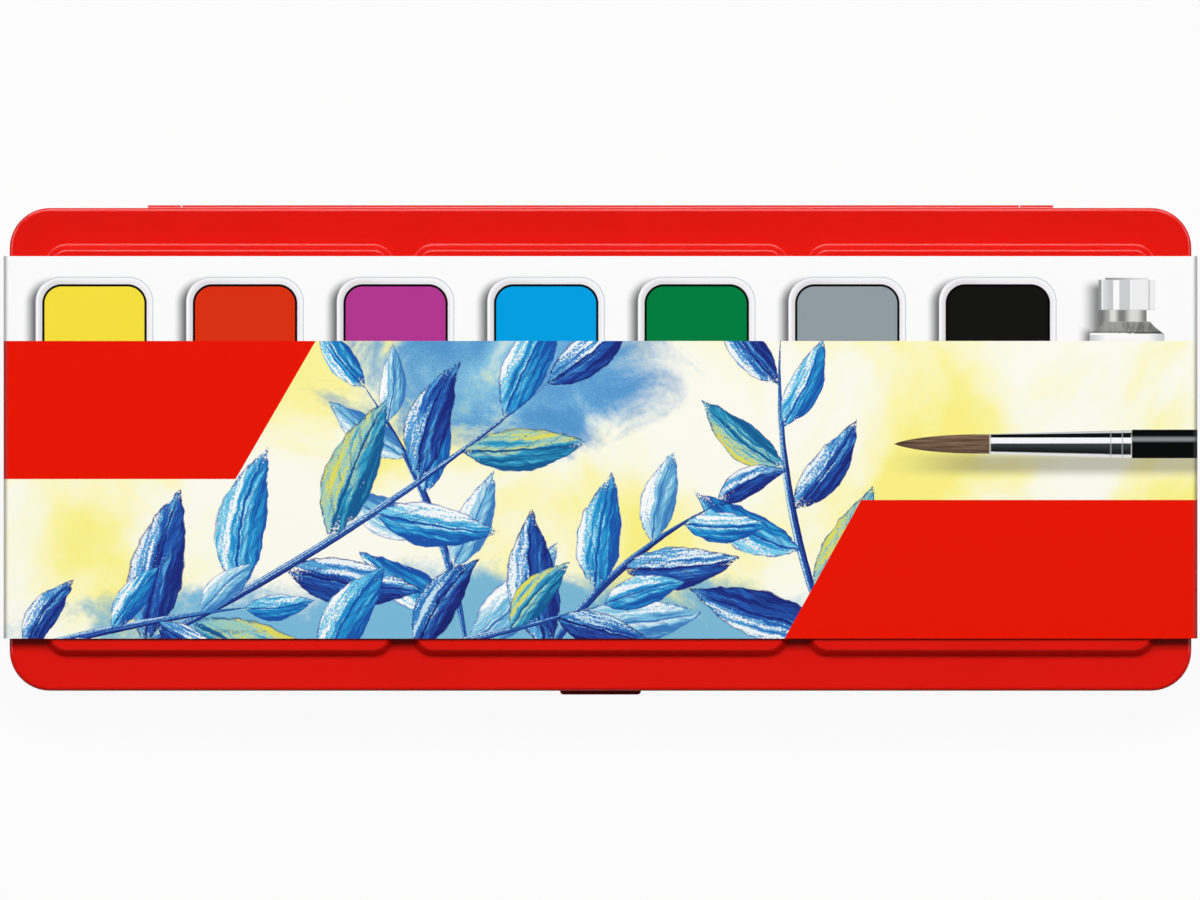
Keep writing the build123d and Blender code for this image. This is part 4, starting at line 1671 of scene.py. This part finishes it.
@dataclass
class PaintTube:
    """The aluminium tube of white gouache: squeezed body, folded crimp, threaded neck and screw cap."""

    body_length: float = 54.8 * MM
    body_round: float = 0.25 * MM
    crimp_length: float = 5.2 * MM
    crimp_half: float = 0.7 * MM
    crimp_round: float = 0.1 * MM
    fold: float = 1.3 * MM
    fold_inset: float = 0.15 * MM
    fold_depth: float = 0.18 * MM
    shoulder: float = 1.8 * MM
    bare_edge: float = 0.4 * MM
    neck_core: float = 3.55 * MM
    neck_crest: float = 4.0 * MM
    bore: float = 2.0 * MM
    pitch: float = 1.25 * MM
    run_out: float = 0.7
    turns: int = 4
    turn_steps: int = 40
    slices: int = 14
    seal_round: float = 0.08 * MM
    cap_round: float = 0.1 * MM

    metal = BareMetal("tube_aluminium", (0.78, 0.79, 0.80), 0.3, (300.0, 40.0, 300.0), 0.00004)
    label = Lacquer("tube_label", srgb(244, 244, 242), srgb(236, 236, 232), roughness=0.3)
    plastic = MouldedPlastic("white_cap", srgb(244, 245, 245), 0.3)
    seal = MouldedPlastic("cap_seal", srgb(232, 230, 222), 0.5)
    paint = PressedGouache("white_gouache", srgb(244, 244, 240))

    def build_body(self, axis: Vector, low: Vector, high: Vector) -> None:
        """The body, squeezed flat towards its crimp, with the shoulder and the bored neck.

        Args:
            axis: a point on the tube's axis.
            low, high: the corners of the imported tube.
        """
        radius, wide = high.z - axis.z, (high.x - low.x) / 2
        shoulder_y = low.y + self.crimp_length + self.body_length
        neck_y = shoulder_y + self.shoulder
        step = self.body_length / self.slices
        start = Vector((axis.x, shoulder_y, axis.z))
        tube = Bench.rod("tube", start - Vector((0.0, step, 0.0)), start, radius).edit().faces(towards("y", -1))
        was_wide, was_high = radius, radius
        for i in range(self.slices):
            share = (i + 1) / self.slices
            now_wide, now_high = radius + (wide - radius) * share, radius + (self.crimp_half - radius) * share
            middle = (axis.x, shoulder_y - share * self.body_length, axis.z)
            if i:
                tube.push(0.0, -step, 0.0)
            tube.resize(now_wide / was_wide, 1.0, now_high / was_high, middle)
            was_wide, was_high = now_wide, now_high
        tube.push(0.0, -self.crimp_length / 2, 0.0)
        tube.faces(lambda middle, normal: towards("y", 1)(middle, normal) and at("y", shoulder_y)(middle, normal))
        tube.push(0.0, self.shoulder, 0.0)
        tube.resize(self.neck_core / radius, 1.0, self.neck_core / radius, (axis.x, neck_y, axis.z))
        tube.push(0.0, high.y - neck_y, 0.0)
        tube.inset(self.neck_core - self.bore).push(0.0, -(high.y - neck_y), 0.0)
        tube.done().soften(self.body_round, 3, 30.0).paint(self.metal, self.label)
        tube.recolour(1, lambda middle, _: low.y + self.crimp_length < middle.y < shoulder_y - self.bare_edge)
        tube.smooth(30.0).place("base", "tube_aluminium", "tube_body")

    def build_crimp(self, low: Vector, high: Vector, height: float) -> None:
        """The end of the tube, folded over and pressed into ribs.

        Args:
            low, high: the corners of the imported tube.
            height: height of the tube's axis.
        """
        near = (low.x, low.y, height - self.crimp_half)
        far = (high.x, low.y + self.crimp_length, height + self.crimp_half)
        crimp = Bench.block("tube_crimp", near, far).edit()
        count = int(self.crimp_length / self.fold)
        for i in range(1, count):
            crimp.cut("y", low.y + i * self.fold)
        for i in range(0, count, 2):
            start, end = low.y + i * self.fold, low.y + (i + 1) * self.fold
            crimp.faces(lambda middle, normal: abs(normal.z) > 0.9 and start < middle.y < end)
            crimp.inset(self.fold_inset, -self.fold_depth)
        crimp.done().soften(self.crimp_round).paint(self.metal).smooth(30.0).place("base", "tube_aluminium")

    def build_thread(self, axis: Vector, mouth: float) -> None:
        """The thread on the neck: a small three-sided ridge wound round it.

        Args:
            axis: a point on the tube's axis.
            mouth: where the neck ends along Y.
        """
        Bench.clear()
        rise = self.neck_crest - self.neck_core
        bpy.ops.mesh.primitive_circle_add(
            vertices=3, radius=rise, location=(self.neck_crest - rise, 0.0, 0.0), rotation=(0.0, 0.0, -math.pi / 2)
        )
        thread = Bench("tube_thread").modify(
            "SCREW", axis="Y", angle=2 * math.pi, screw_offset=self.pitch, iterations=self.turns,
            steps=self.turn_steps, render_steps=self.turn_steps, use_normal_calculate=True,
        )
        thread.edit().every()
        start = mouth - (self.turns + self.run_out) * self.pitch
        bpy.ops.transform.translate(value=(axis.x, start, axis.z))
        thread.weld(0.001 * MM)
        bpy.ops.mesh.edge_face_add()
        bpy.ops.mesh.normals_make_consistent(inside=False)
        thread.done().paint(self.metal).smooth(50.0).place("base", "tube_aluminium")

    def build(self) -> None:
        """Builds the tube, its filling, its cap and the cap's seal."""
        low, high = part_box("tube_body")
        liner_low, liner_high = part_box("cap_liner")
        axis = (liner_low + liner_high) / 2
        self.build_body(axis, low, high)
        self.build_crimp(low, high, axis.z)
        self.build_thread(axis, high.y)
        filling = Bench.cast("tube_filling", "tube_paint")
        filling.paint(self.paint).smooth(30.0).place("base", "white_gouache", "tube_paint")
        liner = Bench.cast("cap_seal", "cap_liner", FLAT).soften(self.seal_round)
        liner.paint(self.seal).smooth().place("seal", "cap_seal", "cap_liner")
        cap = Bench.cast("cap", "tube_cap", FLAT).soften(self.cap_round, angle=50.0)
        cap.paint(self.plastic).smooth().place("cap", "white_cap", "tube_cap")


# --- The brush -----------------------------------------------------------------------------------------------


@dataclass
class RoundBrush:
    """The round brush: hair by hair, a plated ferrule and a black handle."""

    hair_radius: float = 0.07 * MM
    hair_sides: int = 4
    hair_point: float = 0.2
    hairs_round: int = 46
    rows: int = 5
    row_step: float = 0.035
    row_turn: float = 1.3
    profile: tuple[tuple[float, float], ...] = (
        (0.0, 0.06), (0.14, 0.40), (0.30, 0.72), (0.45, 0.91), (0.62, 1.0), (0.82, 0.99), (1.0, 0.95),
    )
    core: float = 0.93
    visible: float = 18.3 * MM
    belly: float = 1.9 * MM

    nickel = BareMetal("nickel", (0.72, 0.72, 0.73), 0.2, (40.0, 900.0, 900.0))
    lacquer = Lacquer("black_lacquer", srgb(22, 22, 23), srgb(14, 14, 15), roughness=0.16, gloss=0.6)

    def build_row(self, row: int, tip: float, axis: Vector) -> Bench:
        """One row of hairs: one is shaped along the tuft's outline and turned round the axis.

        Args:
            row: 0 for the outermost row.
            tip: where the tuft's tip is along X.
            axis: a point on the brush's axis.

        Returns:
            The row.
        """
        back = tip + self.visible * self.row_step * row
        reach = tip + self.visible - back
        start, end = Vector((back, axis.y, axis.z)), Vector((back + reach, axis.y, axis.z))
        strand = Bench.rod(f"hair_{row}", start, end, self.hair_radius, self.hair_sides).edit()
        for share, _ in self.profile[1:-1]:
            strand.cut("x", back + share * reach)
        for share, wide in self.profile:
            x = back + share * reach
            strand.edges(lambda middle, way: at("x", x)(middle, way) and abs(way.x) < 0.5)
            thin = self.hair_point + (1.0 - self.hair_point) * min(1.0, share * 4)
            strand.resize(1.0, thin, thin, (x, axis.y, axis.z))
            lift = wide * (1.0 - self.row_step * row) * self.belly - self.hair_radius
            bpy.ops.transform.translate(value=(0.0, 0.0, lift))
        strand.every()
        bpy.ops.transform.rotate(value=row * self.row_turn, orient_axis="X", center_override=tuple(axis))
        bpy.ops.mesh.spin(
            steps=self.hairs_round, angle=2 * math.pi, center=axis, axis=(1.0, 0.0, 0.0), dupli=True
        )
        return strand.done()

    def build_hair(self, tip: float, axis: Vector, finish: Finish) -> None:
        """All the hairs, joined to one piece.

        Args:
            tip: where the tuft's tip is along X.
            axis: a point on the brush's axis.
            finish: the hair's finish.
        """
        rows = [self.build_row(row, tip, axis) for row in range(self.rows)]
        Bench.clear()
        for row in rows:
            row.piece.select_set(True)
        bpy.context.view_layer.objects.active = rows[0].piece
        bpy.ops.object.join()
        Bench("tuft_hair").paint(finish).smooth(60.0, weigh=False).place("base", finish.name)

    def build(self) -> None:
        """Builds the whole brush."""
        low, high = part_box("brush_tuft")
        axis = (low + high) / 2
        hair = CutHair("brown_hair", srgb(92, 60, 40), srgb(58, 34, 24), low.x, low.x + self.visible)
        core = Bench.cast("tuft_core", "brush_tuft").edit().every().resize(1.0, self.core, self.core, axis).done()
        core.paint(hair).smooth(30.0).place("base", hair.name, "brush_tuft")
        self.build_hair(low.x, axis, hair)
        ferrule = Bench.cast("ferrule", "brush_ferrule")
        ferrule.paint(self.nickel).smooth(25.0).place("base", "nickel", "brush_ferrule")
        handle = Bench.cast("handle", "brush_handle")
        handle.paint(self.lacquer).smooth(30.0).place("base", "black_lacquer", "brush_handle")


# --- The stage --------------------------------------------------------------------------------------------


@dataclass
class Softbox:
    """A rectangular studio lamp aimed at the box."""

    name: str
    place: tuple[float, float, float]
    width: float
    height: float
    power: float
    is_diffuse: bool = True
    is_glossy: bool = True

    def build(self) -> None:
        """Adds the lamp."""
        Bench.clear()
        bpy.ops.object.light_add(type="AREA", location=self.place)
        lamp = bpy.context.object
        lamp.name = self.name
        lamp.data.shape = "RECTANGLE"
        lamp.data.size, lamp.data.size_y, lamp.data.energy = self.width, self.height, self.power
        lamp.rotation_euler = (Vector((0.0, 0.0, 0.01)) - lamp.location).to_track_quat("-Z", "Y").to_euler()
        lamp.visible_camera = False
        lamp.visible_diffuse, lamp.visible_glossy = self.is_diffuse, self.is_glossy


@dataclass
class Studio:
    """A white table, soft lamps and a camera straight above the box."""

    lamps: tuple[Softbox, ...] = (
        Softbox("main_softbox", (0.0, 1.41, 2.65), 3.4, 1.2, 91.0, is_glossy=False),
        Softbox("back_strip", (0.0, 2.6, 1.4), 3.4, 0.5, 38.0, is_diffuse=False),
        Softbox("left_fill", (-1.6, 0.4, 1.2), 1.0, 1.0, 4.0),
        Softbox("right_fill", (1.6, 0.4, 1.2), 1.0, 1.0, 4.0),
    )
    table_radius: float = 6.0
    table_white: float = 0.6
    table_mirrored: float = 0.85
    table_glow: float = 0.94
    camera_height: float = 6.0
    lid_height: float = 18.0 * MM
    frame_width: float = 238.57 * MM
    frame_centre: tuple[float, float] = (-0.10 * MM, -0.12 * MM)
    sensor: float = 36.0
    far: float = 100.0

    def build_table(self) -> None:
        """The floor: white to the camera, and it keeps the box's shadow."""
        Bench.clear()
        bpy.ops.mesh.primitive_circle_add(vertices=96, radius=self.table_radius, fill_type="NGON")
        table = Bench("table").piece
        made = bpy.data.materials.new("white_table")
        graph = Graph.on(made)
        paper = graph.signal("ShaderNodeBsdfDiffuse", 0, {"Color": (self.table_white,) * 3})
        camera, glossy = graph.rays()
        glow = graph.signal("ShaderNodeEmission", 0, {"Strength": 1.0 - glossy * self.table_mirrored})
        share = camera.at_least(glossy) * self.table_glow
        graph.end(graph.signal("ShaderNodeMixShader", 0, {0: share, 1: paper, 2: glow}), "ShaderNodeOutputMaterial")
        table.data.materials.append(made)

    def build_sky(self) -> None:
        """The room: white to the camera, pale behind the box, dark overhead and in front of it."""
        world = bpy.context.scene.world or bpy.data.worlds.new("room")
        bpy.context.scene.world = world
        graph = Graph.on(world)
        camera, glossy = graph.rays()
        _, depth, height = graph.split(graph.signal("ShaderNodeTexCoord", "Generated", {}))
        mirrored = height.rising(0.75, 0.4) * depth.rising(-0.1, 0.4)
        room = coats(
            depth.rising(-0.4, 0.8).mix((0.04,) * 3, (0.24,) * 3),
            (glossy, mirrored.mix((0.03,) * 3, (0.8,) * 3)),
            (camera, (1.0,) * 3),
        )
        graph.end(graph.signal("ShaderNodeBackground", 0, {"Color": room}), "ShaderNodeOutputWorld")

    def build_camera(self) -> None:
        """The camera, straight above, with the picture's top towards the hinge."""
        Bench.clear()
        bpy.ops.object.camera_add(location=(*self.frame_centre, self.camera_height), rotation=(0.0, 0.0, 0.0))
        camera = bpy.context.object
        camera.data.sensor_width = self.sensor
        camera.data.lens = self.sensor * (self.camera_height - self.lid_height) / self.frame_width
        camera.data.clip_end = self.far
        bpy.context.scene.camera = camera

    def build(self) -> None:
        """Sets up the table, the room, the lamps and the camera."""
        self.build_table()
        self.build_sky()
        for lamp in self.lamps:
            lamp.build()
        self.build_camera()
        bpy.context.scene.view_settings.view_transform = "Standard"


def main() -> None:
    """Builds every sub-assembly and the stage."""
    logging.basicConfig(level=logging.INFO, format="%(name)s: %(message)s")
    for assembly in (
        LacqueredTin(), CardWrap(), MouldedTray(), PaintPans(), PaintTube(), RoundBrush(), Studio(),
    ):
        assembly.build()


if __name__ == "__main__":
    main()
